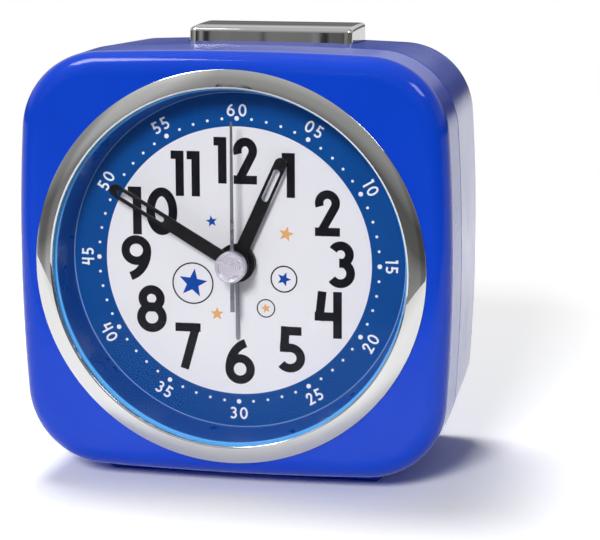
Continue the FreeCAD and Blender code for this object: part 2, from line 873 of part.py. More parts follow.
def seconds_arbor():
    """Arbor through all the tubes, with its pinion and wheel at the back."""
    end = movement_back_depth - plate_thickness / 2
    tip = second_hand_depth
    pinion_start = third_wheel_depth - seat_gap
    pinion = gear(seconds_pinion_teeth, third_module, pinion_start, seconds_wheel_depth - pinion_start)
    wheel = gear(seconds_wheel_teeth, seconds_module, seconds_wheel_depth, wheel_thickness)
    return join([rod(seconds_arbor_radius, tip, end), pinion, wheel])


def third_wheel():
    wheel = gear(third_wheel_teeth, third_module, third_wheel_depth, wheel_thickness, third_at,
                 mesh_phase(third_angle, seconds_pinion_teeth, 0.0, third_wheel_teeth))
    pinion_start = mid_plate_depth + mid_plate_thickness + 2 * run_gap
    pinion = gear(third_pinion_teeth, centre_module, pinion_start,
                  third_wheel_depth - pinion_start, third_at)
    arbor = rod(pivot_radius, mid_plate_depth + seat_gap, movement_back_depth - plate_thickness / 2,
                third_at)
    return join([wheel, pinion, arbor])


def centre_wheel():
    """Wheel of the going train that drives the minute tube through a friction collar."""
    phase = mesh_phase(third_angle + 180.0, third_pinion_teeth, 0.0, centre_wheel_teeth)
    wheel = gear(centre_wheel_teeth, centre_module, centre_wheel_depth, wheel_thickness,
                 (0.0, 0.0), phase)
    return wheel.cut(rod(minute_tube_radius + run_gap, centre_wheel_depth - overcut,
                         centre_wheel_depth + wheel_thickness + overcut))


def minute_arbor():
    """Tube with the cannon pinion in front and the friction collar behind the centre wheel."""
    collar = centre_wheel_depth + wheel_thickness + run_gap
    end = collar + wheel_thickness / 2
    start = minute_hand_depth
    pinion_end = mid_plate_depth - seat_gap / 2
    pinion = gear(cannon_teeth, motion_module, motion_wheel_depth - seat_gap,
                  pinion_end - motion_wheel_depth + seat_gap)
    body = join([rod(minute_tube_radius, start, end), pinion,
                 rod(2 * minute_tube_radius, collar, end)])
    return body.cut(rod(seconds_arbor_radius + run_gap, start - overcut, end + overcut))


def motion_wheel():
    """Wheel and pinion that bring the minute tube's speed down to the hour wheel's."""
    phase = mesh_phase(motion_angle, cannon_teeth, 0.0, motion_wheel_teeth)
    wheel = gear(motion_wheel_teeth, motion_module, motion_wheel_depth, wheel_thickness,
                 motion_at, phase)
    pinion = gear(motion_pinion_teeth, motion_module, hour_wheel_depth,
                  motion_wheel_depth - hour_wheel_depth, motion_at)
    hub_end = mid_plate_depth - seat_gap / 2
    hub = rod(2 * stud_radius, motion_wheel_depth, hub_end, motion_at)
    return join([wheel, pinion, hub]).cut(rod(stud_radius + run_gap, hour_wheel_depth - overcut,
                                              hub_end + overcut, motion_at))


def hour_wheel():
    phase = mesh_phase(motion_angle + 180.0, motion_pinion_teeth, 0.0, hour_wheel_teeth)
    wheel = gear(hour_wheel_teeth, motion_module, hour_wheel_depth, wheel_thickness, (0.0, 0.0), phase)
    body = join([wheel, rod(hour_tube_radius, hour_hand_depth, hour_wheel_depth)])
    return body.cut(rod(minute_tube_radius + run_gap, hour_hand_depth - overcut,
                        hour_wheel_depth + wheel_thickness + overcut))


def alarm_wheel():
    wheel = gear(alarm_wheel_teeth, alarm_module, alarm_wheel_depth, wheel_thickness)
    body = join([wheel, rod(alarm_tube_radius, alarm_hand_depth, alarm_wheel_depth)])
    return body.cut(rod(hour_tube_radius + run_gap, alarm_hand_depth - overcut,
                        alarm_wheel_depth + wheel_thickness + overcut))


def intermediate_wheel():
    phase = mesh_phase(intermediate_angle, seconds_wheel_teeth, 0.0, small_pinion_teeth)
    pinion = gear(small_pinion_teeth, seconds_module, intermediate_wheel_depth,
                  movement_inside_depth - run_gap * 2 - intermediate_wheel_depth,
                  intermediate_at, phase)
    wheel = gear(intermediate_wheel_teeth, seconds_module, intermediate_wheel_depth,
                 wheel_thickness, intermediate_at)
    return join([pinion, wheel]).cut(rod(stud_radius / 2 + run_gap,
                                         intermediate_wheel_depth - overcut,
                                         movement_inside_depth, intermediate_at))


def rotor():
    phase = mesh_phase(rotor_angle, intermediate_wheel_teeth, 0.0, rotor_pinion_teeth)
    pinion = gear(rotor_pinion_teeth, seconds_module, intermediate_wheel_depth - seat_gap / 2,
                  magnet_depth - intermediate_wheel_depth + seat_gap / 2, rotor_at, phase)
    magnet = rod(magnet_radius, magnet_depth, magnet_depth + magnet_length, rotor_at)
    arbor = rod(pivot_radius, mid_plate_depth + seat_gap, movement_back_depth - plate_thickness / 2,
                rotor_at)
    return join([pinion, magnet, arbor])


def setting_shaft(place, teeth, module, phase, wheel_at, wheel_length):
    """Stem from the movement to a knob at the back, with its pinion near the front."""
    front_pivot = movement_front_depth + plate_thickness / 2
    collar_start = movement_back_depth + seat_gap
    parts = [rod(2 * pivot_radius, front_pivot, wheel_at, place)]
    parts.append(gear(teeth, module, wheel_at, wheel_length, place, phase))
    parts.append(rod(stem_radius, wheel_at, back_depth - knob_ridge_depth, place))
    parts.append(rod(stem_collar_radius, collar_start, collar_start + stem_collar_length, place))
    return join(parts)


def time_shaft():
    wheel_phase = mesh_phase(motion_angle, cannon_teeth, 0.0, motion_wheel_teeth)
    phase = mesh_phase(time_pinion_angle, motion_wheel_teeth, wheel_phase, time_pinion_teeth)
    return setting_shaft(time_at, time_pinion_teeth, motion_module, phase,
                         motion_wheel_depth - seat_gap, wheel_thickness + 2 * seat_gap)


def alarm_shaft():
    direction = math.degrees(math.atan2(alarm_at[1], alarm_at[0]))
    phase = mesh_phase(direction, alarm_wheel_teeth, 0.0, alarm_pinion_teeth)
    return setting_shaft(alarm_at, alarm_pinion_teeth, alarm_module, phase,
                         alarm_wheel_depth - seat_gap / 2, wheel_thickness + seat_gap)


def knob(place):
    """Push-on knob with a ridged grip, a dished end and a bore for its stem."""
    start = back_depth + knob_proud - knob_height
    end = back_depth + knob_proud
    body = rod(knob_radius, start, end, place)
    body = body.makeChamfer(knob_edge, face_edges(body, end))
    grooves = []
    for index in range(knob_ridges):
        at = polar(knob_radius + knob_ridge_depth, index * 360.0 / knob_ridges, place)
        grooves.append(rod(2 * knob_ridge_depth, start - overcut, end + overcut, at))
    dish = Part.makeSphere(knob_dish_radius, spot(place, end + knob_dish_radius - knob_dish_depth))
    body = body.cut(grooves + [dish])
    return body.cut(rod(stem_radius, start - overcut, back_depth - knob_ridge_depth, place))


def time_knob():
    return knob(time_at)


def alarm_knob():
    return knob(alarm_at)


def blade(length, width, tip_width, depth, thickness, tail=0.0):
    """Flat hand at twelve o'clock with a round tip, tapered from width to tip width."""
    z = dial_height
    y = front_y + depth
    left, right = -width / 2, width / 2
    tip_z = z + length - tip_width / 2
    points = [Vector(-tip_width / 2, y, tip_z), Vector(0, y, z + length), Vector(tip_width / 2, y, tip_z)]
    bottom = z - tail
    edges = [arc(*points), Part.makeLine(points[2], Vector(right, y, bottom)),
             Part.makeLine(Vector(right, y, bottom), Vector(left, y, bottom)),
             Part.makeLine(Vector(left, y, bottom), points[0])]
    return prism(Part.Wire(edges), thickness)


def upright_slot(start, end, width, depth, thickness):
    """Round-ended slot along a hand at twelve o'clock."""
    low, high = start + width / 2, end - width / 2
    before, past = depth - overcut, depth + thickness + overcut
    middle = block(-width / 2, width / 2, before, past, dial_height + low, dial_height + high)
    return join([middle] + [rod(width / 2, before, past, (0, at)) for at in (low, high)])


def slotted_hand(length, width, tip_width, depth, hub, bore, slot, slot_width):
    """Black hour or minute hand at twelve o'clock, with a round hub and an open slot."""
    hub_end = depth + 2 * hand_thickness
    body = join([blade(length, width, tip_width, depth, hand_thickness),
                 rod(hub, depth, depth + hand_thickness),
                 rod(bore + hand_collar_wall, depth, hub_end)])
    return body.cut([upright_slot(slot[0], slot[1], slot_width, depth, hand_thickness),
                     rod(bore, depth - overcut, hub_end + overcut)])


def hour_hand():
    hand = slotted_hand(hour_hand_length, hour_hand_width, hour_tip_width, hour_hand_depth,
                        hour_hub_radius, hour_tube_radius, (hour_slot_start, hour_slot_end),
                        hour_slot_width)
    return turned(hand, hour_angle)


def minute_hand():
    hand = slotted_hand(minute_hand_length, minute_hand_width, minute_tip_width, minute_hand_depth,
                        minute_hub_radius, minute_tube_radius, (minute_slot_start, minute_slot_end),
                        minute_slot_width)
    return turned(hand, minute_angle)


def second_hand():
    depth = second_hand_depth
    hub_end = depth + 3 * thin_hand_thickness
    body = join([blade(second_hand_length, second_hand_width, second_tip_width, depth,
                       thin_hand_thickness, second_hand_tail),
                 rod(second_hub_radius, depth, depth + thin_hand_thickness),
                 rod(2 * seconds_arbor_radius, depth, hub_end)])
    return turned(body.cut(rod(seconds_arbor_radius, depth - overcut, hub_end + overcut)), second_angle)


def alarm_hand():
    depth = alarm_hand_depth
    end = depth + thin_hand_thickness
    body = join([blade(alarm_hand_length, alarm_hand_width, alarm_tip_width, depth,
                       thin_hand_thickness), rod(alarm_hub_radius, depth, end)])
    return turned(body.cut(rod(alarm_tube_radius, depth - overcut, end + overcut)), alarm_angle)


def hand_cap():
    """Turned button on the second hand, with a raised rim round a dished face."""
    face = cap_radius - cap_rim_width
    return revolve([(0, cap_front_depth + cap_dish_depth), (face, cap_front_depth + cap_dish_depth),
                    (face + cap_rim_lean, cap_front_depth), (cap_radius - cap_edge, cap_front_depth),
                    (cap_radius, cap_front_depth + cap_edge), (cap_radius, second_hand_depth - cap_edge),
                    (cap_radius - cap_edge, second_hand_depth), (0, second_hand_depth)])


def stator():
    """Flat iron plate with the rotor's hole and two legs that carry the coil's core."""
    z0 = dial_height + rotor_at[1] - stator_base_height / 2
    x0, x1 = coil_at[0] - stator_span / 2, coil_at[0] + stator_span / 2
    start, end = stator_depth, stator_depth + stator_thickness
    top = dial_height + coil_at[1] + coil_core_width / 2
    parts = [block(x0, x1, start, end, z0, z0 + stator_base_height),
             block(x0, x0 + stator_leg_width, start, end, z0, top),
             block(x1 - stator_leg_width, x1, start, end, z0, top)]
    return join(parts).cut(rod(magnet_radius + rotor_gap, start - overcut, end + overcut, rotor_at))


def coil_core():
    z = dial_height + coil_at[1]
    x0, x1 = coil_at[0] - stator_span / 2, coil_at[0] + stator_span / 2
    half = coil_core_width / 2
    return block(x0, x1, stator_depth - stator_thickness, stator_depth, z - half, z + half)


def coil_oval(half_length, grow):
    """Body round the coil core with rounded long edges, grown by a distance."""
    middle = stator_depth - stator_thickness / 2
    deep, high = coil_thickness / 2 + grow, coil_height / 2 + grow
    x0, x1 = coil_at[0] - half_length, coil_at[0] + half_length
    z = dial_height + coil_at[1]
    body = block(x0, x1, middle - deep, middle + deep, z - high, z + high)
    along = [e for e in body.Edges if abs(e.tangentAt(e.FirstParameter).x) > 0.99]
    return body.makeFillet(coil_thickness / 2 * coil_corner_share, along)


def coil():
    """Oval winding on its bobbin, around the core."""
    winding_half = coil_length / 2
    whole = coil_oval(winding_half + bobbin_flange, bobbin_flange_rise)
    room = coil_oval(winding_half, overcut).cut(coil_oval(winding_half, 0))
    return whole.cut([room, coil_core()])


def circuit_board():
    start = movement_front_depth + plate_thickness + board_standoff
    z0 = dial_height - board_bottom
    board = block(-board_width / 2, board_width / 2, start, start + board_thickness, z0,
                  z0 + board_height)
    chip_at = (-board_width * chip_offset_share, -board_bottom + board_height / 2)
    back = start + board_thickness
    blob = Part.makeSphere(chip_radius, spot(chip_at, back - chip_radius + chip_height))
    blob = blob.common(rod(chip_radius, back, back + chip_height, chip_at))
    return join([board, blob])


def crystal():
    """Can of the quartz crystal, lying on the circuit board."""
    back = movement_front_depth + plate_thickness + board_standoff + board_thickness
    x0 = board_width * crystal_offset_share
    at = Vector(x0, front_y + back + crystal_radius, dial_height - board_bottom + board_height / 3)
    can = Part.makeCylinder(crystal_radius, crystal_length, at, Vector(1, 0, 0))
    return can.makeChamfer(crystal_radius / 4, flat_edges(can))


def trip_spring():
    """Leaf from the middle plate that touches off the alarm behind the hour wheel."""
    hour_back = hour_wheel_depth + wheel_thickness + seat_gap
    root = mid_plate_depth
    t = trip_spring_thickness
    half = trip_spring_width / 2
    x_tip = motion_module * hour_wheel_teeth / 2 - trip_spring_overlap
    x_bend = motion_module * hour_wheel_teeth / 2 + trip_spring_bend_gap
    x_root = x_bend + trip_spring_foot
    profile = [(x_root, root - t), (x_bend, root - t), (x_tip, hour_back), (x_tip, hour_back + t),
               (x_bend - t, root), (x_root, root)]
    z = dial_height - motion_module * motion_wheel_teeth / 2
    corners = [Vector(x, front_y + depth, z - half) for x, depth in profile]
    return Part.Face(Part.makePolygon(corners + corners[:1])).extrude(Vector(0, 0, 2 * half))


def snooze_bar():
    """Chrome bar: a hollow cap with rounded edges, a hidden flange and two guide posts."""
    bottom = bar_top_height - bar_skirt - bar_travel - wall
    top = bar_box(0, bottom, bar_top_height)
    crown = [e for e in top.Edges if e.BoundBox.ZMin > bar_top_height - fit_gap]
    top = top.makeFillet(bar_edge_radius, crown)
    flange = bar_box(bar_flange, bottom - bar_wall, bottom)
    hollow = bar_box(-bar_wall, bottom - bar_wall - overcut, bar_top_height - bar_wall)
    roof = bar_top_height - bar_wall
    posts = [upright_rod(post_radius, post_end_height - bar_travel, roof, place)
             for place in bar_post_places()]
    push = upright_rod(switch_button_radius, shelf_height + switch_height + bar_travel, roof,
                       switch_place())
    return join([join([top, flange]).cut(hollow), push] + posts)


def switch_place():
    return (bar_offset, bar_front_depth + bar_depth / 2)


def square_wire(place, wire, quarters, outward):
    """Spring of square wire, swept over quarter turns through the places that a rule gives."""
    path = Part.Wire([arc(place(q), place(q + 0.5), place(q + 1)) for q in range(quarters)])
    along = path.Edges[0].tangentAt(path.Edges[0].FirstParameter)
    high = along.cross(outward).normalize() * (wire / 2)
    across = high.cross(along).normalize() * (wire / 2)
    corners = [place(0) + across * a + high * b for a, b in ((-1, -1), (1, -1), (1, 1), (-1, 1))]
    return path.makePipeShell([Part.makePolygon(corners + corners[:1])], True, False)


def snooze_springs():
    """Two springs round the guide posts, from the shelf to the underside of the bar."""
    quarters = spring_turns * 4
    start = shelf_height + run_gap + spring_wire / 2
    end = bar_top_height - bar_wall - run_gap - spring_wire * wire_end_share
    rise = (end - start) / quarters
    springs = []
    for x, depth in bar_post_places():

        def at(quarter):
            turn = quarter * math.pi / 2
            return Vector(x + spring_radius * math.cos(turn),
                          front_y + depth + spring_radius * math.sin(turn),
                          start + rise * quarter)

        springs.append(square_wire(at, spring_wire, quarters, Vector(1, 0, 0)))
    return Part.makeCompound(springs)


def snooze_switch():
    x, depth = switch_place()
    half = switch_size / 2
    body = block(x - half, x + half, depth - half, depth + half, shelf_height,
                 shelf_height + switch_height)
    return body.cut(upright_rod(switch_button_radius + run_gap, shelf_height + wall / 2,
                                shelf_height + switch_height + overcut, switch_place()))


def snooze_button():
    return upright_rod(switch_button_radius, shelf_height + wall / 2 + bar_travel,
                       shelf_height + switch_height + bar_travel, switch_place())


def alarm_switch_body():
    start, end = back_depth - wall - alarm_switch_body_depth, back_depth - wall
    body = rounded_plate(alarm_switch_body_width, alarm_switch_body_height, alarm_switch_corner,
                         start, end, (0, alarm_switch_rise))
    half = (alarm_switch_grip + alarm_switch_travel) / 2 + alarm_switch_base_lip + seat_gap
    high = alarm_switch_grip_height / 2 + alarm_switch_base_rise + alarm_switch_room_gap
    z = dial_height + alarm_switch_rise
    return body.cut(block(-half, half, start + alarm_switch_wall, end + overcut, z - high, z + high))


def alarm_switch_slider():
    """Slider at its left stop, with a ribbed grip that stands out of the back."""
    z = dial_height + alarm_switch_rise
    left = -(alarm_switch_grip + alarm_switch_travel) / 2
    right = left + alarm_switch_grip
    high = alarm_switch_grip_height / 2
    base_high = high + alarm_switch_base_rise
    end = back_depth - wall - seat_gap
    start = back_depth - wall - alarm_switch_body_depth + alarm_switch_wall + seat_gap
    top = back_depth + alarm_switch_proud
    base = block(left - alarm_switch_base_lip, right + alarm_switch_base_lip, start, end,
                 z - base_high, z + base_high)
    body = join([base, block(left, right, start, top, z - high, z + high)])
    grooves = []
    for index in (-1, 0, 1):
        x = (left + right) / 2 + index * alarm_switch_grip / 4
        at = Vector(x, front_y + top, z - high - overcut)
        grooves.append(Part.makeCylinder(alarm_switch_groove, 2 * (high + overcut), at))
    return body.cut(grooves)


def sounder():
    end = back_depth - wall
    at = (0, -sounder_drop)
    body = rod(sounder_radius, end - sounder_thickness, end, at)
    body = body.makeChamfer(sounder_chamfer, face_edges(body, end - sounder_thickness))
    past = end + overcut
    return body.cut([rod(sounder_radius - sounder_rim, end - sounder_rim, past, at),
                     rod(sounder_port_radius, end - sounder_thickness / 2, past, at)])


def battery_door():
    """Door with two tabs at its foot, a springy latch at its top and pull ribs."""
    start, end = back_depth - door_thickness, back_depth
    z0 = bay_centre_height - bay_height / 2 - door_margin
    z1 = bay_centre_height + bay_height / 2 + door_margin
    parts = [door_box(0, start, end)]
    for x in door_tab_places():
        parts.append(block(x - door_tab_width / 2, x + door_tab_width / 2,
                           start, start + door_tab_thickness - door_gap / 2,
                           z0 - door_tab_length, z0 + wall))
    rib_pitch = latch_length / door_rib_count
    thumb_half = latch_width / 2 - thumb_margin
    for index in range(door_rib_count):
        z = z1 - latch_length - (index + 1) * rib_pitch
        parts.append(block(-thumb_half, thumb_half, end - door_rib_sink, end + door_rib_height,
                           z, z + rib_pitch / 2))
    cuts = []
    for side in (-1, 1):
        x = side * latch_width / 2
        cuts.append(block(x - latch_slit / 2, x + latch_slit / 2, start - overcut, end + overcut,
                          z1 - latch_slit_share * latch_length, z1 + overcut))
    thumb = Part.makeCylinder(latch_width, 2 * thumb_half,
                              Vector(-thumb_half, front_y + end + latch_width - thumb_depth,
                                     z1 - latch_length / 2), Vector(1, 0, 0))
    room = block(-thumb_half, thumb_half, start, end + overcut, z1 - latch_length, z1)
    return join(parts).cut(cuts + [thumb.common(room)])


def cell_start():
    """X of the negative end of the battery cell."""
    return bay_length / 2 - contact_thickness - cell_nub_length - cell_length


def battery_cell():
    at = Vector(cell_start(), front_y + cell_depth(), bay_centre_height)
    along = Vector(1, 0, 0)
    can = Part.makeCylinder(cell_radius, cell_length, at, along)
    can = can.makeChamfer(cell_chamfer, flat_edges(can))
    nub = Part.makeCylinder(cell_nub_radius, cell_length + cell_nub_length, at, along)
    return join([can, nub])


def cell_depth():
    return back_depth - bay_depth + cell_radius + seat_gap


def contact_plate(x0):
    """Square plate with rounded corners at one end of the bay."""
    depth = cell_depth()
    half = cell_radius - contact_margin
    plate = block(x0, x0 + contact_thickness, depth - half, depth + half,
                  bay_centre_height - half, bay_centre_height + half)
    edges = [e for e in plate.Edges if abs(e.tangentAt(e.FirstParameter).x) > 0.99]
    return plate.makeFillet(contact_corner, edges)


def positive_contact():
    return contact_plate(bay_length / 2 - contact_thickness)


def negative_contact():
    """Contact plate with a coil spring that tapers towards the cell."""
    x0 = -bay_length / 2
    start = x0 + contact_thickness + contact_spring_wire / 2
    quarters = contact_spring_turns * 4
    end = cell_start() - run_gap - contact_spring_wire * wire_end_share
    rise = (end - start) / quarters
    shrink = (contact_spring_radius - contact_spring_tip) / quarters

    def at(quarter):
        turn = quarter * math.pi / 2
        radius = contact_spring_radius - shrink * quarter
        return Vector(start + rise * quarter,
                      front_y + cell_depth() + radius * math.cos(turn),
                      bay_centre_height + radius * math.sin(turn))

    spring = square_wire(at, contact_spring_wire, quarters, Vector(0, 1, 0))
    return Part.makeCompound([contact_plate(x0), spring])


def screw(place, shank_radius, tip_depth, seat_depth, head_radius, head_height, chamfer):
    """Screw put in from the back, with a chamfered head and a cross recess."""
    end = seat_depth + head_height
    shank = rod(shank_radius, tip_depth, seat_depth, place)
    head = rod(head_radius, seat_depth, end, place)
    head = head.makeChamfer(chamfer, face_edges(head, end))
    z = dial_height + place[1]
    long_half, short_half = head_radius * cross_length_share, head_radius * cross_width_share
    recess = [block(place[0] - across, place[0] + across, end - cross_depth, end + overcut,
                    z - high, z + high)
              for across, high in ((long_half, short_half), (short_half, long_half))]
    return join([shank, head]).cut(recess)


def case_screws():
    """Four long screws that clamp both shells and the carrier."""
    return Part.makeCompound([
        screw(place, screw_radius - screw_shank_gap, screw_tip_depth, screw_seat_depth,
              screw_head_radius, screw_head_height, screw_head_chamfer) for place in screw_places])


def movement_screws():
    """Four screws that hold the movement together and to the carrier."""
    return Part.makeCompound([
        screw(place, movement_screw_radius, dial_back_depth + plate_thickness, movement_back_depth,
              movement_screw_head, movement_screw_head_height, movement_screw_chamfer)
        for place in pillar_places])


PARTS = {
    "front_case": front_case,
    "rear_case": rear_case,
    "foot": foot,
    "bezel_ring": bezel,
    "lens": lens,
    "dial_ring": dial_ring,
    "dial_plate": dial_plate,
    "movement_carrier": carrier,
    "movement_front_plate": movement_front,
    "movement_middle_plate": mid_plate,
    "movement_back_cover": movement_back,
    "seconds_wheel": seconds_arbor,
    "third_wheel": third_wheel,
    "centre_wheel": centre_wheel,
    "minute_tube": minute_arbor,
    "motion_wheel": motion_wheel,
    "hour_wheel": hour_wheel,
    "alarm_wheel": alarm_wheel,
    "intermediate_wheel": intermediate_wheel,
    "rotor": rotor,
    "time_shaft": time_shaft,
    "alarm_shaft": alarm_shaft,
    "time_knob": time_knob,
    "alarm_knob": alarm_knob,
    "hour_hand": hour_hand,
    "minute_hand": minute_hand,
    "second_hand": second_hand,
    "alarm_hand": alarm_hand,
    "hand_cap": hand_cap,
    "stator": stator,
    "coil_core": coil_core,
    "coil": coil,
    "circuit_board": circuit_board,
    "quartz_crystal": crystal,
    "alarm_trip_spring": trip_spring,
    "snooze_bar": snooze_bar,
    "snooze_springs": snooze_springs,
    "snooze_switch": snooze_switch,
    "snooze_switch_button": snooze_button,
    "alarm_switch_body": alarm_switch_body,
    "alarm_switch_slider": alarm_switch_slider,
    "sounder": sounder,
    "battery_door": battery_door,
    "battery_cell": battery_cell,
    "positive_contact": positive_contact,
    "negative_contact": negative_contact,
    "case_screws": case_screws,
    "movement_screws": movement_screws,
}

os.makedirs("parts", exist_ok=True)
for name, make in PARTS.items():
    shape = make()
    shape.exportStep("parts/" + name + ".step")
    print(name, len(shape.Solids), round(shape.Volume, 1), shape.isValid())
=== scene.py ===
import math
import bmesh
import bpy
from mathutils import Matrix, Vector


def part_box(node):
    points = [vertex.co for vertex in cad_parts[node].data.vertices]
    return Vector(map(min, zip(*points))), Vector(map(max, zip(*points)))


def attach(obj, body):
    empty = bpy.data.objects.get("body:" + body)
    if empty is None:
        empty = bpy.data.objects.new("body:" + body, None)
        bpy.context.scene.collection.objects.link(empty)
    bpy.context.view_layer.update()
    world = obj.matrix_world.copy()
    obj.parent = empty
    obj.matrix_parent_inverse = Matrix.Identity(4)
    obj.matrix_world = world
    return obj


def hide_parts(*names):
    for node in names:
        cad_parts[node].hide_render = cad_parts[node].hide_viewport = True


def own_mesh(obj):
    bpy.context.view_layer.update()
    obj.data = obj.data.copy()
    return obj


# Looks of a kids alarm clock: glossy blue shells, chrome bezel and snooze bar, printed dial.
# X is to the right as seen from the front, Y points to the back, Z is up, in metres.
# Depths are measured back from the front crest of the bezel, as (x, z, depth) round the dial axis.
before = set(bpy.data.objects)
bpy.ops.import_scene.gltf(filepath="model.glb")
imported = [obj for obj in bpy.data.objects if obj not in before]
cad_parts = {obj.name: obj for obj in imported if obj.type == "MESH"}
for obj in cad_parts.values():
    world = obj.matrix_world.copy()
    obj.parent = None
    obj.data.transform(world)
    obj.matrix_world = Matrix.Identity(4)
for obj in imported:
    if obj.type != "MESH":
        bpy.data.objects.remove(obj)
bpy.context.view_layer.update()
MM = 0.001

# Places and sizes taken from the frame
bezel_low, bezel_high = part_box("bezel_ring")
front_low, front_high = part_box("front_case")
rear_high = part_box("rear_case")[1]
lens_low, lens_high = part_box("lens")
sheet_low, sheet_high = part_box("dial_plate")
ring_low, ring_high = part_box("dial_ring")
bar_low, bar_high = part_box("snooze_bar")
foot_low, foot_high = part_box("foot")
door_low, door_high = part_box("battery_door")
cap_low, cap_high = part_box("hand_cap")
cell_low, cell_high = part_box("battery_cell")
slider_low, slider_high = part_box("alarm_switch_slider")
screws_low, screws_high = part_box("case_screws")
sounder_low, sounder_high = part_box("sounder")
knob_boxes = {name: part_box(name) for name in ("time_knob", "alarm_knob")}
front_y = bezel_low.y
dial_z = (bezel_low.z + bezel_high.z) / 2
case_width = front_high.x - front_low.x
case_height = front_high.z - front_low.z
face_depth = front_low.y - front_y
parting_depth = front_high.y - front_y
back_depth = rear_high.y - front_y
bezel_radius = (bezel_high.x - bezel_low.x) / 2
bezel_back_depth = bezel_high.y - front_y
lens_radius = (lens_high.x - lens_low.x) / 2
lens_depth = lens_low.y - front_y
lens_back_depth = lens_high.y - front_y
sheet_radius = (sheet_high.x - sheet_low.x) / 2
sheet_depth = sheet_low.y - front_y
sheet_back_depth = sheet_high.y - front_y

# How close points are merged, and which edges count as flat or sharp
merge_reach = 0.0001 * MM
node_merge = 0.001 * MM
flat_angle = math.radians(0.5)
sharp_angle = math.radians(35.0)

# Case outline, walls and foot
corner_radius = 17.0 * MM
side_bow = 420.0 * MM
top_bow = 700.0 * MM
back_taper = 1.65 * MM
front_edge = 4.6 * MM
back_edge = 3.0 * MM
wall = 2.0 * MM
rim_edge = 0.12 * MM
groove_width = 0.5 * MM
groove_deep = 0.6 * MM
tongue_length = 2.0 * MM
tongue_thickness = 1.2 * MM
fit_gap = 0.1 * MM
seat_gap = 0.3 * MM
side_steps = 7
corner_steps = 22
edge_steps = 10
face_support = 0.5 * MM
foot_inside = 0.9 * MM
foot_corner = 1.7 * MM
foot_round = 0.35 * MM

# Bezel, ring and dial
bezel_width = 3.8 * MM
bezel_edge_height = 0.5 * MM
bezel_bow = (0.071 * MM, -0.187 * MM)
bezel_crest_width = 0.35 * MM
bezel_steps = 16
bezel_round = 0.12 * MM
bezel_drop = 0.25 * MM
lens_round = 0.15 * MM
neck_wall = 0.8 * MM
ring_lip_width = 1.0 * MM
ring_cone_width = 1.1 * MM
ring_wall = 1.0 * MM
ring_neck = 1.2 * MM
ring_round = 0.2 * MM
ring_flare = 1.5 * ring_wall
dial_hole = 3.9 * MM
disc_radius = 28.6 * MM
dot_circle = 30.27 * MM
small_dot = 0.3 * MM
large_dot = 0.5 * MM
line_circle = 35.75 * MM
line_width = 0.22 * MM
print_film = 0.03 * MM
print_depth = sheet_depth - print_film
stroke_step = 0.0015 * MM
minute_circle = 32.8 * MM
minute_circle_top = 32.0 * MM
minute_height = 2.7 * MM
minute_gap = 0.21
minute_gap_top = 0.26
minute_stroke = 0.155
star_points = 5
star_waist = 0.42
spin_steps = 192

# Hands and the cap over them
hand_edge = 0.1 * MM
thin_hand_edge = 0.06 * MM
cap_rim = 0.75 * MM
cap_dish = 0.4 * MM
cap_shoulder = 0.4 * MM
cap_round = 0.1 * MM
cap_line = 0.2 * MM
cap_pitch = 0.42 * MM
cap_lift = 0.003 * MM

# Back of the case, with its door, cell, screws, grille, switch and knobs
recess_depth = 5.0 * MM
recess_floor = 2.0 * MM
recess_half_height = 9.6 * MM
recess_chamfer = 0.35 * MM
bay_length = 59.0 * MM
bay_height = 15.6 * MM
bay_depth = 16.6 * MM
bay_wall = 1.4 * MM
door_gap = 0.3 * MM
door_sill = 1.5 * MM
ear_place = 17.0 * MM
ear_half = 3.3 * MM
ear_depth = 4.2 * MM
ear_skin = 0.55 * MM
ear_height = 3.5 * MM
lid_edge = 0.12 * MM
nub_height = 1.2 * MM
nub_radius = 2.6 * MM
cell_round = 0.5 * MM
driver_hole = 3.0 * MM
screw_head = 2.6 * MM
pocket_wall = 1.2 * MM
pocket_depth = 22.0 * MM
stem_hole = 2.3 * MM
slot_count = 5
slot_pitch = 1.9 * MM
slot_half = 0.5 * MM
slot_reach = 5.2 * MM
slot_flare = 1.8
sounder_ring = 2.4 * MM
switch_travel = 4.0 * MM
switch_grip = 4.4 * MM
switch_grip_height = 2.4 * MM
knob_ridges = 20
knob_edge = 0.7 * MM
knob_start_edge = 0.3 * MM
knob_dish = 0.6 * MM
dish_reach = 0.85
DISH_SHARES = (0.82, 0.6, 0.4, 0.2, 0.05)
ridge_steps = 12
ridge_groove = 1.0 * MM
ridge_reach = 0.87 * ridge_groove

# Stars (across, up, radius, turn) and rings (across, up, radius, width), in millimetres
BLUE_STARS = ((-9.8, -5.0, 3.2, 8.0), (9.9, -3.4, 1.6, 20.0), (-5.6, 8.4, 1.3, -10.0))
ORANGE_STARS = ((-4.6, -11.4, 1.5, 0.0), (10.4, 6.2, 1.7, 12.0), (6.0, -9.8, 1.1, -12.0))
BLACK_RINGS = ((9.9, -3.4, 2.9, 0.3), (6.0, -9.8, 2.0, 0.25), (-9.8, -5.0, 4.5, 0.3))

# Snooze bar
bar_lean = math.radians(8.0)
bar_crown = 0.16 * MM
bar_flange = 0.7 * MM
bar_height = 6.6 * MM
bar_corner = 1.6 * MM
bar_edge = 0.9 * MM
bar_wall = 1.2 * MM
bar_round_steps = 8
bar_slices = 8
opening_corner = 1.9 * MM

# Camera, as the photograph was taken
camera_place = Vector((110.76, -480.73, 138.19)) * MM
camera_yaw = 11.91
camera_pitch = 11.04
camera_roll = -0.18
camera_lens = 138.0
camera_sensor = 36.0

# Light: the world's level, the floor, and where the reflected room fades over
ambient_light = 0.15
floor_white = 1.22
floor_radius = 0.6
floor_fade = 0.28
floor_plain = 0.4
floor_front = 0.19
floor_front_fade = 0.1
floor_steps = 96
stripe_fade = (0.2, 0.35)
back_fade = (-0.3, 0.1)
lamp_target = Vector((0.0, 0.0, 0.05))

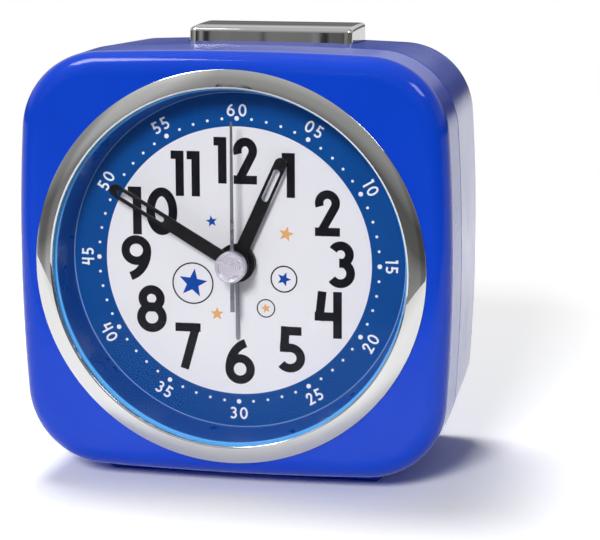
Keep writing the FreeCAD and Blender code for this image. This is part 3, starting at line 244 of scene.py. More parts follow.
# Lamps: name, place, size, power, and whether one is only mirrored
LAMPS = (("key lamp", (-0.18, -1.96, 1.05), (0.5, 0.5), 33.5, False),
         ("top lamp", (-0.24, 0.26, 1.25), (0.45, 0.45), 9.5, False),
         ("left softbox", (-0.48, -0.26, 1.0), (0.32, 0.4), 6.4, True),
         ("right softbox", (0.62, -0.34, 0.7), (0.24, 0.24), 1.8, True))

# The room in the reflections, as (height or side, grey)
ROOM_FRONT = ((-1.0, 0.6), (-0.34, 0.45), (-0.18, 0.27), (-0.11, 0.13), (0.04, 0.12), (0.14, 0.22),
              (0.35, 0.36), (0.55, 0.4), (1.0, 0.7))
ROOM_SIDES = ((-1.0, 1.4), (-0.92, 1.0), (-0.82, 1.0), (-0.7, 1.7), (-0.45, 1.7), (-0.28, 1.0),
              (0.6, 1.0), (0.7, 0.65), (0.85, 0.65), (0.95, 1.0), (1.0, 1.0))
ROOM_BACK = ((-0.2, 0.9), (-0.06, 0.85), (-0.02, 0.1), (0.03, 0.1), (0.06, 0.2), (0.1, 0.15),
             (0.13, 0.6), (0.26, 0.8), (0.6, 0.4), (1.0, 0.7))
ROOM_STRIPES = ((-0.3, 1.2), (-0.258, 1.2), (-0.257, 0.1), (-0.2496, 0.1), (-0.2491, 1.6),
                (-0.2479, 1.6), (-0.2475, 0.1), (-0.2452, 0.1), (-0.2446, 0.85), (-0.236, 0.95),
                (-0.2355, 0.85), (-0.2219, 0.9), (-0.2216, 0.25), (-0.2204, 0.25), (-0.22, 0.95),
                (-0.1994, 0.85), (-0.199, 1.1), (-0.1956, 1.1), (-0.1953, 0.08), (-0.1918, 0.08),
                (-0.1914, 1.0), (-0.1907, 0.55), (-0.1845, 0.5), (-0.184, 0.05), (-0.1785, 0.05),
                (-0.177, 0.9), (-0.17, 1.0))


def spot(x, z, depth):
    """Point by its place round the dial axis and its depth behind the bezel's crest."""
    return Vector((x, front_y + depth, dial_z + z))


def polar(radius, degrees):
    """Place round the dial axis, clockwise from twelve o'clock."""
    turn = math.radians(degrees)
    return radius * math.sin(turn), radius * math.cos(turn)


def tone(screen):
    """Colour from its screen values between 0 and 255."""
    shares = [value / 255 for value in screen]
    return (*(share / 12.92 if share <= 0.04045 else ((share + 0.055) / 1.055) ** 2.4
              for share in shares), 1.0)


def outline_arcs():
    """Arc centres and turning points of one quarter of the bowed, rounded square."""
    side = Vector((case_width / 2 - side_bow, 0.0))
    top = Vector((0.0, case_height / 2 - top_bow))
    apart = top - side
    side_reach, top_reach = side_bow - corner_radius, top_bow - corner_radius
    reach = (side_reach ** 2 - top_reach ** 2 + apart.length_squared) / (2 * apart.length)
    rise = math.sqrt(side_reach ** 2 - reach ** 2)
    along = apart.normalized()
    across = Vector((abs(along.y), abs(along.x)))
    corner = side + along * reach + across * rise
    return side, top, corner, (corner - side), (corner - top)


SIDE, TOP, CORNER, TO_SIDE, TO_TOP = outline_arcs()
first_turn = math.atan2(TO_SIDE.y, TO_SIDE.x)
last_turn = math.atan2(TO_TOP.y, TO_TOP.x)


def outline_turns():
    """Normal angles round the outline, in order, closest together at the corners."""
    first, last = first_turn, last_turn
    quarter = [first * step / side_steps for step in range(1, side_steps)]
    quarter += [first + (last - first) * step / corner_steps for step in range(corner_steps + 1)]
    quarter += [last + (math.pi / 2 - last) * step / side_steps for step in range(1, side_steps)]
    turns = []
    for start in (0.0, math.pi):
        turns += [start] + [start + turn for turn in quarter]
        turns += [start + math.pi / 2] + [start + math.pi - turn for turn in reversed(quarter)]
    return turns


OUTLINE_TURNS = outline_turns()


def outline_place(turn, inset):
    """Point of the outline whose outward normal has this angle, moved in by an inset."""
    cosine, sine = abs(math.cos(turn)), abs(math.sin(turn))
    folded = math.atan2(sine, cosine)
    if folded < first_turn:
        centre, radius = SIDE, side_bow
    elif folded > last_turn:
        centre, radius = TOP, top_bow
    else:
        centre, radius = CORNER, corner_radius
    x = centre.x + (radius - inset) * cosine
    z = centre.y + (radius - inset) * sine
    return math.copysign(x, math.cos(turn)), math.copysign(z, math.sin(turn))


def case_loop(inset, depth):
    """Loop on the straight front part of the case."""
    places = [outline_place(turn, inset) for turn in OUTLINE_TURNS]
    return [spot(x, z, depth) for x, z in places]


def rear_loop(inset, depth):
    """Loop on the tapered rear part of the case."""
    share = (depth - parting_depth) / (back_depth - parting_depth)
    return case_loop(inset + back_taper * share, depth)


def round_loop(radius, depth):
    """Circle whose points lie on the same rays as the outline's."""
    loop = []
    for turn in OUTLINE_TURNS:
        x, z = outline_place(turn, 0.0)
        reach = math.hypot(x, z)
        loop.append(spot(x * radius / reach, z * radius / reach, depth))
    return loop


def edge_curve(radius, steps=edge_steps):
    """Inset and depth of the points on a rounded edge, from the face round to the side."""
    turns = [math.pi / 2 * step / steps for step in range(steps + 1)]
    return [(radius * (1 - math.sin(turn)), radius * (1 - math.cos(turn))) for turn in turns]


def loop_edges(bm, ring):
    """Edges between the points of a closed loop, in order."""
    return [bm.edges.get(pair) for pair in zip(ring, ring[1:] + ring[:1])]


def outward(bm):
    """The same shape, with all its faces turned outward."""
    bmesh.ops.recalc_face_normals(bm, faces=bm.faces)
    return bm


def extruded(bm, edges, verts, places):
    """Extrudes edges and moves the vertices' copies to their places: the copies and the faces."""
    grown = bmesh.ops.extrude_edge_only(bm, edges=edges)["geom"]
    made = {item for item in grown if isinstance(item, bmesh.types.BMVert)}
    fresh = []
    for vert, place in zip(verts, places):
        others = [edge.other_vert(vert) for edge in vert.link_edges]
        fresh.append(next(other for other in others if other in made))
        fresh[-1].co = place
    return fresh, [item for item in grown if isinstance(item, bmesh.types.BMFace)]


def loft(loops, joined=False):
    """Closed skin through loops of as many points, capped at its ends or joined end to end."""
    bm = bmesh.new()
    bmesh.ops.create_circle(bm, segments=len(loops[0]), radius=1.0)
    first = ring = list(bm.verts)
    for vert, place in zip(ring, loops[0]):
        vert.co = place
    for places in loops[1:]:
        ring = extruded(bm, loop_edges(bm, ring), ring, places)[0]
    if joined:
        bmesh.ops.bridge_loops(bm, edges=loop_edges(bm, first) + loop_edges(bm, ring))
    else:
        for end in (first, ring):
            bmesh.ops.edgeloop_fill(bm, edges=loop_edges(bm, end))
    return outward(bm)


def turned(places, centre, axis, steps, closed):
    """Solid turned about an axis from the points of its profile."""
    bm = bmesh.new()
    verts = [bm.verts.new(place) for place in places]
    edges = [bm.edges.new(pair) for pair in zip(verts, verts[1:])]
    if closed:
        edges.append(bm.edges.new((verts[-1], verts[0])))
    bmesh.ops.spin(bm, geom=verts + edges, cent=centre, axis=axis, angle=2 * math.pi,
                   steps=steps, use_merge=True)
    bmesh.ops.remove_doubles(bm, verts=bm.verts, dist=merge_reach)
    return outward(bm)


def spun(points, x=0.0, z=0.0, steps=spin_steps):
    """Solid turned about an axis along Y from (radius, depth) points."""
    places = [spot(x + radius, z, depth) for radius, depth in points]
    return turned(places, spot(x, z, 0.0), (0.0, 1.0, 0.0), steps, points[0][0] > 0)


def rounded(points, steps=4):
    """Open profile whose inner corners are rounded, from (radius, depth, corner) points."""
    curve = [points[0][:2]]
    for before, here, after in zip(points, points[1:], points[2:]):
        corner = Vector(here[:2])
        if here[2] == 0:
            curve.append(tuple(corner))
            continue
        back = (Vector(before[:2]) - corner).normalized()
        ahead = (Vector(after[:2]) - corner).normalized()
        half = back.angle(ahead) / 2
        centre = corner + (back + ahead).normalized() * (here[2] / math.sin(half))
        start = corner + back * (here[2] / math.tan(half)) - centre
        end = corner + ahead * (here[2] / math.tan(half)) - centre
        for step in range(steps + 1):
            ray = start.lerp(end, step / steps).normalized() * here[2]
            curve.append(tuple(centre + ray))
    return curve + [points[-1][:2]]


def rod(radius, start, end, x=0.0, z=0.0, segments=64):
    """Round rod along the dial axis between two depths."""
    bm = bmesh.new()
    place = Matrix.Translation(spot(x, z, (start + end) / 2)) @ Matrix.Rotation(math.pi / 2, 4, "X")
    bmesh.ops.create_cone(bm, cap_ends=True, segments=segments, radius1=radius, radius2=radius,
                          depth=end - start, matrix=place)
    return bm


def block(low, high):
    """Closed box between two corners."""
    bm = bmesh.new()
    size, middle = high - low, (low + high) / 2
    bmesh.ops.create_cube(bm, size=1.0, matrix=Matrix.Translation(middle) @ Matrix.Diagonal(
        (size.x, size.y, size.z, 1.0)))
    return bm


def slot_loop(half_length, radius, z, depth, steps=24):
    """Loop with two straight sides and round ends in the dial plane."""
    loop = []
    for side, start in ((1, -math.pi / 2), (-1, math.pi / 2)):
        for step in range(steps + 1):
            turn = start + math.pi * step / steps
            loop.append(spot(side * half_length + radius * math.cos(turn),
                             z + radius * math.sin(turn), depth))
    return loop


def round_edges(bm, edges, radius, segments=4):
    """Rounds the edges given."""
    bmesh.ops.bevel(bm, geom=list(edges), offset=radius, offset_type="OFFSET", segments=segments,
                    profile=0.5, affect="EDGES", clamp_overlap=True, material=-1)


def sharp_edges(bm, degrees=40.0):
    """Edges whose faces turn by more than an angle."""
    limit = math.radians(degrees)
    return [e for e in bm.edges if len(e.link_faces) == 2 and e.calc_face_angle() > limit]


def long_edges(edges, axis):
    """Edges that run farther along an axis than a wall is thick."""
    return [e for e in edges if abs((e.verts[0].co - e.verts[1].co)[axis]) > wall]


def add_shape(bm, *others):
    """Adds finished shapes to another one."""
    for other in others:
        mesh = bpy.data.meshes.new("shape")
        other.to_mesh(mesh)
        other.free()
        bm.from_mesh(mesh)
        bpy.data.meshes.remove(mesh)
    return bm


def scene_object(name, data):
    """Object in the scene that holds this data."""
    made = bpy.data.objects.new(name, data)
    bpy.context.scene.collection.objects.link(made)
    return made


def shape_object(bm, name="shape"):
    """Object made from a finished shape."""
    mesh = bpy.data.meshes.new(name)
    bm.to_mesh(mesh)
    bm.free()
    return scene_object(name, mesh)


def carved(bm, others):
    """Cuts closed shapes out of a body."""
    body = shape_object(bm)
    tools = [shape_object(other) for other in others]
    for tool in tools:
        step = body.modifiers.new("carve", "BOOLEAN")
        step.operation = "DIFFERENCE"
        step.solver = "EXACT"
        step.object = tool
    result = bmesh.new()
    result.from_mesh(body.evaluated_get(bpy.context.evaluated_depsgraph_get()).data)
    for made in [body] + tools:
        mesh = made.data
        bpy.data.objects.remove(made)
        bpy.data.meshes.remove(mesh)
    return result


def piece(name, bm, body, material, nodes=()):
    """Finished object that rides on a body, smooth across all but its sharp edges."""
    made = shape_object(bm, name)
    for face in made.data.polygons:
        face.use_smooth = True
    made.data.set_sharp_from_angle(angle=sharp_angle)
    made.modifiers.new("even shading", "WEIGHTED_NORMAL").keep_sharp = True
    made.data.materials.append(material)
    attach(made, body)
    if nodes:
        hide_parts(*nodes)
    return made


def copied(node, edge=0.0):
    """Copy of a frame node's mesh, merged, with its sharp edges rounded where an edge is given."""
    bm = bmesh.new()
    bm.from_mesh(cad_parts[node].data)
    bmesh.ops.remove_doubles(bm, verts=bm.verts, dist=node_merge)
    if edge:
        bmesh.ops.dissolve_limit(bm, angle_limit=flat_angle, verts=bm.verts, edges=bm.edges)
        round_edges(bm, sharp_edges(bm), edge, 2)
    return bm


# Shared effects

def feed(tree, source, socket):
    """Links a socket to its source, or gives it a fixed value."""
    if isinstance(source, bpy.types.NodeSocket):
        tree.links.new(source, socket)
    else:
        socket.default_value = source


def add_node(tree, kind, inputs=None, **settings):
    """Node with its settings, and with its inputs linked or given values."""
    made = tree.nodes.new("ShaderNode" + kind)
    for label, value in settings.items():
        setattr(made, label, value)
    for label, source in (inputs or {}).items():
        feed(tree, source, made.inputs[label])
    return made


def object_place(tree):
    """Point of the surface in the object's own coordinates."""
    return add_node(tree, "TexCoord").outputs["Object"]


def glossy_shader(tree):
    """The shader that a new material starts with."""
    return tree.nodes["Principled BSDF"]


def length(tree, vector):
    """Length of a vector."""
    return add_node(tree, "VectorMath", {0: vector}, operation="LENGTH").outputs["Value"]


def larger(tree, first, second):
    """The larger of two values."""
    return add_node(tree, "Math", {0: first, 1: second}, operation="MAXIMUM").outputs[0]


def soft_step(tree, value, low, high):
    """0 below the low value, 1 above the high one, smooth between."""
    return add_node(tree, "MapRange", {"Value": value, "From Min": low, "From Max": high},
                    interpolation_type="SMOOTHSTEP").outputs["Result"]


def mixed(tree, fac, first, second, blend="MIX"):
    """Colour mixed from two others."""
    return add_node(tree, "Mix", {"Factor": fac, 6: first, 7: second}, data_type="RGBA",
                    blend_type=blend).outputs[2]


def mixed_shader(tree, fac, first, second):
    """Surface mixed from two others."""
    return add_node(tree, "MixShader", {"Fac": fac, 1: first, 2: second}).outputs["Shader"]


def new_group(name, inputs, output, kind):
    """Shared effect with its inputs and its one output."""
    group = bpy.data.node_groups.new(name, "ShaderNodeTree")
    for label, socket_kind, value in inputs:
        socket = group.interface.new_socket(label, in_out="INPUT", socket_type=socket_kind)
        socket.default_value = value
    group.interface.new_socket(output, in_out="OUTPUT", socket_type=kind)
    return group, group.nodes.new("NodeGroupInput"), group.nodes.new("NodeGroupOutput")


def noise_in(group, scale, detail, roughness=0.5):
    """Noise on object coordinates inside a group, its scale from a socket."""
    return add_node(group, "TexNoise", {
        "Vector": object_place(group), "Scale": scale, "Detail": detail,
        "Roughness": roughness}).outputs["Fac"]


def mottled_tone():
    """Colour that drifts between two tones in soft clouds."""
    group, start, end = new_group("mottled tone", (
        ("Light", "NodeSocketColor", (1, 1, 1, 1)), ("Dark", "NodeSocketColor", (0, 0, 0, 1)),
        ("Scale", "NodeSocketFloat", 60.0)), "Color", "NodeSocketColor")
    clouds = noise_in(group, start.outputs["Scale"], 3.0)
    colour = mixed(group, clouds, start.outputs["Dark"], start.outputs["Light"])
    feed(group, colour, end.inputs["Color"])
    return group


def handled_gloss():
    """Roughness that varies as on a surface that hands have touched."""
    group, start, end = new_group("handled gloss", (
        ("Low", "NodeSocketFloat", 0.1), ("High", "NodeSocketFloat", 0.2),
        ("Scale", "NodeSocketFloat", 90.0)), "Roughness", "NodeSocketFloat")
    smears = noise_in(group, start.outputs["Scale"], 5.0, 0.6)
    spread = add_node(group, "MapRange", {
        "Value": smears, "From Min": 0.35, "From Max": 0.7,
        "To Min": start.outputs["Low"], "To Max": start.outputs["High"]})
    feed(group, spread.outputs["Result"], end.inputs["Roughness"])
    return group


def fine_relief():
    """Height of the fine unevenness of a moulded or brushed surface."""
    group, start, end = new_group("fine relief", (
        ("Scale", "NodeSocketFloat", 2000.0),), "Height", "NodeSocketFloat")
    feed(group, noise_in(group, start.outputs["Scale"], 2.0), end.inputs["Height"])
    return group


MOTTLED = mottled_tone()
HANDLED = handled_gloss()
RELIEF = fine_relief()


def shared(tree, group, **values):
    """What a shared effect gives for these values."""
    return add_node(tree, "Group", values, node_tree=group).outputs[0]


def surface(name, light, dark, gloss, mottle=60.0, relief=2000.0, lift=0.01, **plain):
    """Material with drifting colour, handled gloss and fine relief, in millimetres of lift."""
    material = bpy.data.materials.new(name)
    material.use_nodes = True
    tree = material.node_tree
    bump = add_node(tree, "Bump", {"Strength": 1.0, "Distance": lift * MM,
                                   "Height": shared(tree, RELIEF, Scale=relief)})
    plain["Base Color"] = shared(tree, MOTTLED, Light=tone(light), Dark=tone(dark), Scale=mottle)
    plain["Roughness"] = shared(tree, HANDLED, Low=gloss[0], High=gloss[1], Scale=mottle * 1.5)
    plain["Normal"] = bump.outputs["Normal"]
    for label, source in plain.items():
        feed(tree, source, glossy_shader(tree).inputs[label.replace("_", " ")])
    return material


def show(tree, shader, output="Material Output"):
    """Makes a shader the surface that is seen."""
    feed(tree, shader, tree.nodes[output].inputs["Surface"])


def clear_plastic():
    """Clear lens that lets the lamps through to the dial."""
    material = surface("clear lens", (255, 255, 255), (250, 252, 255), (0.0, 0.02),
                       lift=0.0002, IOR=1.13, Transmission_Weight=1.0)
    tree = material.node_tree
    path = add_node(tree, "LightPath").outputs
    light = larger(tree, path["Is Shadow Ray"], path["Is Diffuse Ray"])
    clear = add_node(tree, "BsdfTransparent")
    show(tree, mixed_shader(tree, light, glossy_shader(tree).outputs[0], clear.outputs[0]))
    return material


def painted_light_outside(material, radius, bright):
    """Painted light: lighter colour on the part of a piece that lies farther from the dial axis
    than a radius, standing in for light that the bezel's shade keeps off it.
    """
    tree = material.node_tree
    base = glossy_shader(tree).inputs["Base Color"]
    flat = add_node(tree, "Mapping", {"Vector": object_place(tree), "Scale": (1.0, 0.0, 1.0),
                                      "Location": (0.0, 0.0, -dial_z)})
    share = soft_step(tree, length(tree, flat.outputs["Vector"]), radius - fit_gap,
                      radius + fit_gap)
    feed(tree, mixed(tree, share, base.links[0].from_socket, tone(bright)), base)


def turned_metal(name, light, dark, centre):
    """Bright metal with the fine rings that a lathe leaves round an axis along Y."""
    material = surface(name, light, light, (0.2, 0.3), Metallic=0.45)
    tree = material.node_tree
    base = glossy_shader(tree).inputs["Base Color"]
    shift = add_node(tree, "Mapping", {"Vector": object_place(tree), "Location": -centre})
    rings = add_node(tree, "TexWave", {
        "Vector": shift.outputs["Vector"], "Scale": math.pi / (10 * cap_pitch),
        "Distortion": 0.2}, wave_type="RINGS", rings_direction="Y").outputs["Fac"]
    bump = next(node for node in tree.nodes if node.type == "BUMP")
    feed(tree, cap_lift, bump.inputs["Distance"])
    feed(tree, rings, bump.inputs["Height"])
    feed(tree, mixed(tree, rings, tone(dark), base.links[0].from_socket), base)
    return material


BLUE = surface("blue gloss plastic", (8, 70, 212), (5, 62, 198), (0.1, 0.16),
               lift=0.00006, relief=300.0, IOR=1.34)
CHROME = surface("bright chrome plating", (216, 216, 214), (206, 206, 206), (0.015, 0.03),
                 lift=0.00008, relief=500.0, Metallic=1.0)
LENS = clear_plastic()
RING_BLUE = surface("ring blue plastic", (20, 84, 172), (14, 76, 160), (0.26, 0.38), IOR=1.4)
# Painted light: the ring's lip under the lens gets a lighter blue where the bezel shades it.
painted_light_outside(RING_BLUE, lens_radius - ring_lip_width, (96, 182, 255))


def printed(name, light, dark):
    """Ink on the dial sheet: matt, with little gloss of its own."""
    return surface(name, light, dark, (0.4, 0.5), Specular_IOR_Level=0.1)


DIAL_BLUE = printed("dial blue print", (14, 78, 150), (10, 70, 138))
DIAL_WHITE = printed("dial white print", (240, 238, 242), (233, 231, 236))
PRINT_BLACK = printed("dial black print", (24, 24, 30), (16, 16, 22))
PRINT_WHITE = printed("dial white figures", (250, 250, 252), (240, 242, 248))
PRINT_LINE = printed("dial light line", (130, 165, 215), (110, 148, 202))
PRINT_ORANGE = printed("dial orange print", (240, 180, 120), (228, 164, 104))
PRINT_STAR = printed("dial bright blue print", (20, 78, 170), (14, 66, 152))
HAND_BLACK = surface("black satin hand", (20, 20, 22), (12, 12, 14), (0.28, 0.42),
                     Specular_IOR_Level=0.25)
HAND_SILVER = surface("silver hand", (156, 154, 164), (134, 132, 142), (0.25, 0.4), Metallic=0.9)
KNOB_BLACK = surface("black knob plastic", (30, 30, 33), (20, 20, 23), (0.3, 0.45),
                     lift=0.006, relief=3500.0)
INNER = surface("inner white plastic", (226, 224, 218), (214, 212, 206), (0.4, 0.55))
MOVEMENT = surface("movement grey plastic", (92, 94, 98), (78, 80, 84), (0.35, 0.5))
GEAR = surface("gear plastic", (236, 230, 214), (222, 216, 198), (0.3, 0.45))
MAGNET = surface("rotor magnet", (70, 70, 74), (52, 52, 56), (0.35, 0.5), Metallic=0.6)
STEEL = surface("plated steel", (196, 198, 202), (170, 172, 178), (0.18, 0.32), Metallic=1.0)
COPPER = surface("enamelled copper wire", (196, 104, 52), (160, 78, 36), (0.25, 0.4),
                 relief=5000.0, lift=0.05, Metallic=0.9)
BOARD = surface("green circuit board", (36, 104, 62), (24, 82, 48), (0.35, 0.5))
CONTACT = surface("nickel contact", (206, 204, 196), (182, 180, 172), (0.2, 0.34), Metallic=1.0)
SWITCH = surface("black switch plastic", (30, 30, 32), (22, 22, 24), (0.4, 0.5))
CELL_WRAP = surface("battery wrap", (58, 60, 66), (44, 46, 52), (0.22, 0.34))


def front_shell():
    """Front shell: rounded front edge, thin wall and the round opening for the bezel."""
    opening = lens_radius + 2 * fit_gap + neck_wall
    outer = [(front_edge + face_support, face_depth)]
    outer += [(inset, face_depth + rise) for inset, rise in edge_curve(front_edge)]
    outer += [(0.0, face_depth + front_edge + face_support), (0.0, parting_depth - 2 * rim_edge),
              (0.0, parting_depth - rim_edge), (rim_edge, parting_depth), (wall, parting_depth)]
    inner = [(wall + inset, face_depth + wall + rise)
             for inset, rise in edge_curve(front_edge - wall, 4)]
    loops = [round_loop(opening, face_depth + wall), round_loop(opening, face_depth)]
    return loft(loops + [case_loop(*step) for step in outer + inner[::-1]], joined=True)


def rear_body():
    """Outside of the rear shell with its tongue and groove, as a closed body."""
    inset = wall + fit_gap
    groove_end = parting_depth + groove_width
    loops = [case_loop(inset, parting_depth - tongue_length), case_loop(inset, parting_depth),
             case_loop(groove_deep, parting_depth), case_loop(groove_deep, groove_end)]
    steps = [(rim_edge, groove_end), (0.0, groove_end + rim_edge),
             (0.0, groove_end + 2 * rim_edge), (0.0, back_depth - back_edge - face_support)]
    steps += [(inset, back_depth - rise) for inset, rise in reversed(edge_curve(back_edge))]
    steps.append((back_edge + face_support, back_depth))
    return loft(loops + [rear_loop(*step) for step in steps])


def rear_hollow():
    """Space inside the rear shell, round the recess, the bay, the pockets and the sounder."""
    inset = wall + fit_gap + tongue_thickness
    behind = parting_depth + wall
    hollow = loft([case_loop(inset, parting_depth - tongue_length - wall), case_loop(inset, behind),
                   rear_loop(wall, behind), rear_loop(wall, back_depth - wall)])
    return carved(hollow, rear_supports())


def box_place(low, high):
    """Place of a box's middle round the dial axis."""
    return (low.x + high.x) / 2, (low.z + high.z) / 2 - dial_z


KNOB_PLACES = {name: box_place(*box) for name, box in knob_boxes.items()}
recess_reach, recess_z = abs(KNOB_PLACES["time_knob"][0]), KNOB_PLACES["time_knob"][1]
sounder_x, sounder_z = box_place(sounder_low, sounder_high)


def screw_places():
    """Places of the four case screws, from the box round all of them."""
    reach_x = (screws_high.x - screws_low.x) / 2 - screw_head
    reach_z = (screws_high.z - screws_low.z) / 2 - screw_head
    x, z = box_place(screws_low, screws_high)
    return [(x + sx * reach_x, z + sz * reach_z) for sx in (-1, 1) for sz in (-1, 1)]


def bay_corners(grow, deeper, back):
    """Corners of the battery bay, made wider, deeper and longer to the back."""
    middle = cell_low.z + (cell_high.z - cell_low.z) / 2
    low = Vector((-bay_length / 2 - grow, front_y + back_depth - bay_depth - deeper,
                  middle - bay_height / 2 - grow))
    high = Vector((bay_length / 2 + grow, front_y + back, middle + bay_height / 2 + grow))
    return low, high


def recess_body(steps):
    """Body with the outline of the knob recess, from (radius, depth) steps."""
    return loft([slot_loop(recess_reach, radius, recess_z, depth) for radius, depth in steps])


def rear_supports():
    """What stands inside the rear shell: recess cup, bay box, pockets and sounder ring."""
    past = back_depth + wall
    outer = recess_half_height + wall
    parts = [recess_body(((outer, back_depth - recess_depth - recess_floor), (outer, past)))]
    parts.append(block(*bay_corners(bay_wall, bay_wall, past)))
    for x, z in screw_places():
        parts.append(rod(driver_hole + pocket_wall, back_depth - pocket_depth - wall, past, x, z))
    radius = (sounder_high.x - sounder_low.x) / 2 + seat_gap
    ring = rod(radius + pocket_wall, back_depth - wall - sounder_ring, past, sounder_x, sounder_z)
    parts.append(carved(ring, [rod(radius, 0.0, 2 * back_depth, sounder_x, sounder_z)]))
    return parts


def recess_cut():
    """Space of the knob recess, its edges broken at the floor and at the mouth."""
    floor, radius = back_depth - recess_depth, recess_half_height
    return recess_body(((radius - recess_chamfer, floor), (radius, floor + recess_chamfer),
                        (radius, back_depth - recess_chamfer),
                        (radius + 2 * recess_chamfer, back_depth + recess_chamfer)))


def grille_cuts():
    """Slots over the sounder, their lengths on a circle and their mouths wider."""
    steps = ((slot_half, back_depth - 2 * wall), (slot_half, back_depth - slot_half / 4),
             (slot_half * slot_flare, back_depth + slot_half))
    cuts = []
    for index in range(slot_count):
        rise = (index - (slot_count - 1) / 2) * slot_pitch
        half = math.sqrt(slot_reach ** 2 - rise ** 2) - slot_half
        cuts.append(loft([slot_loop(half, radius, sounder_z + rise, depth, 8)
                          for radius, depth in steps]))
    return cuts


def back_block(low_x, high_x, low_y, high_y, low_z, high_z):
    """Box between two corners, given side by side."""
    return block(Vector((low_x, low_y, low_z)), Vector((high_x, high_y, high_z)))


def rear_cuts():
    """Openings through the rear shell: recess, bay, grille, door, knobs, screws, switch, bar."""
    past, back_y = back_depth + wall, front_y + back_depth
    cuts = [recess_cut(), block(*bay_corners(0.0, 0.0, past)), *grille_cuts()]
    cuts.append(back_block(door_low.x - door_gap, door_high.x + door_gap,
                           door_low.y - fit_gap, front_y + past,
                           door_low.z + door_sill - door_gap, door_high.z + door_gap))
    for x in (-ear_place, ear_place):
        cuts.append(back_block(x - ear_half, x + ear_half, back_y - ear_depth, back_y - ear_skin,
                               door_low.z - door_gap, door_low.z + ear_height))
    for x, z in KNOB_PLACES.values():
        cuts.append(rod(stem_hole, back_depth - recess_depth - 2 * recess_floor, past, x, z))
    for x, z in screw_places():
        cuts.append(rod(driver_hole, back_depth - pocket_depth, past, x, z))
    middle = (slider_low.z + slider_high.z) / 2
    half_x = (switch_grip + switch_travel) / 2 + seat_gap
    half_z = switch_grip_height / 2 + seat_gap
    cuts.append(back_block(-half_x, half_x, back_y - 2 * wall, front_y + past,
                           middle - half_z, middle + half_z))
    return cuts + [bar_opening()]


def bar_opening():
    """Opening in the roof of the case for the snooze bar."""
    grow = Vector((seat_gap, seat_gap, 0.0))
    flange = Vector((bar_flange, bar_flange, 0.0))
    low = Vector((bar_low.x, bar_low.y, dial_z + case_height / 2 - 3 * wall)) + flange - grow
    opening = block(low, bar_high - flange + grow)
    round_edges(opening, long_edges(opening.edges, 2), opening_corner, 6)
    return opening


def rear_shell():
    """Rear shell, hollowed and cut open."""
    return carved(carved(rear_body(), [rear_hollow()]), rear_cuts())


def foot_block():
    """Low foot whose top runs into the case's underside, with rounded lower edges."""
    low, high = foot_low.copy(), foot_high.copy()
    bm = block(low, Vector((high.x, high.y, front_low.z + foot_inside)))
    slope = back_taper / (back_depth - parting_depth)
    for vert in bm.verts:
        if vert.co.z > low.z + foot_inside:
            vert.co.z += max(0.0, vert.co.y - front_y - parting_depth) * slope
    lower = [e for e in bm.edges if all(v.co.z < low.z + fit_gap for v in e.verts)]
    round_edges(bm, long_edges(lower, 1), foot_corner, 6)
    round_edges(bm, sharp_edges(bm, 60.0), foot_round, 3)
    return bm


def bezel_shape():
    """Chrome ring: sloping bowed face, lip over the lens and a neck behind."""
    inner = bezel_radius - bezel_width
    crest = Vector((inner + bezel_crest_width, 0.0))
    outer = Vector((bezel_radius, face_depth - bezel_edge_height))
    face = []
    for step in range(bezel_steps + 1):
        share = step / bezel_steps
        bow = Vector(bezel_bow) * (4 * share * (1 - share))
        face.append(tuple(outer.lerp(crest, share) + bow))
    seat, soft = lens_radius + fit_gap, bezel_round
    neck = seat + neck_wall
    back = rounded([(*face[-1], 0.0), (inner, bezel_drop, soft), (inner, lens_depth, soft),
                    (seat, lens_depth, 0.0), (seat, bezel_back_depth, soft),
                    (neck, bezel_back_depth, soft), (neck, face_depth, 0.0),
                    (bezel_radius, face_depth, 0.0), (*face[0], soft), (*face[1], 0.0)], 3)
    return spun(face[1:] + back[1:-1])


def lens_shape():
    """Flat clear disc with a small round on its rim, and faces that stay flat up to it."""
    flat = lens_radius - 2 * lens_round
    return spun(rounded([(0.0, lens_depth, 0.0), (flat, lens_depth, 0.0),
                         (lens_radius, lens_depth, lens_round),
                         (lens_radius, lens_back_depth, lens_round),
                         (flat, lens_back_depth, 0.0), (0.0, lens_back_depth, 0.0)], 3))


def dial_ring_shape():
    """Blue ring: a flat lip under the lens and a cone that runs down to the dial."""
    top = ring_low.y - front_y
    lip = lens_radius - ring_lip_width
    outer = lens_radius - fit_gap
    visible = lip - ring_cone_width
    flange = (ring_high.x - ring_low.x) / 2
    foot = sheet_depth - ring_wall
    return spun(rounded([(visible, sheet_depth, 0.0), (lip, top, ring_round),
                         (outer, top, ring_round), (outer, top + ring_neck, 0.0),
                         (visible + ring_flare, foot, 0.0), (flange, foot, 0.0),
                         (flange, sheet_depth, 0.0)], 4))


def flat_ring(inner, outer, start, end):
    """Flat ring or disc round the dial axis between two depths."""
    return spun([(inner, start), (outer, start), (outer, end), (inner, end)])


# Print on the dial: figures as strokes in units of their height

STROKE = 0.186


def bend(x, y, radius_x, radius_y, start, end, steps=20):
    """Points along part of an ellipse, angles in degrees from the right."""
    turns = [math.radians(start + (end - start) * step / steps) for step in range(steps + 1)]
    return [(x + radius_x * math.cos(turn), y + radius_y * math.sin(turn)) for turn in turns]


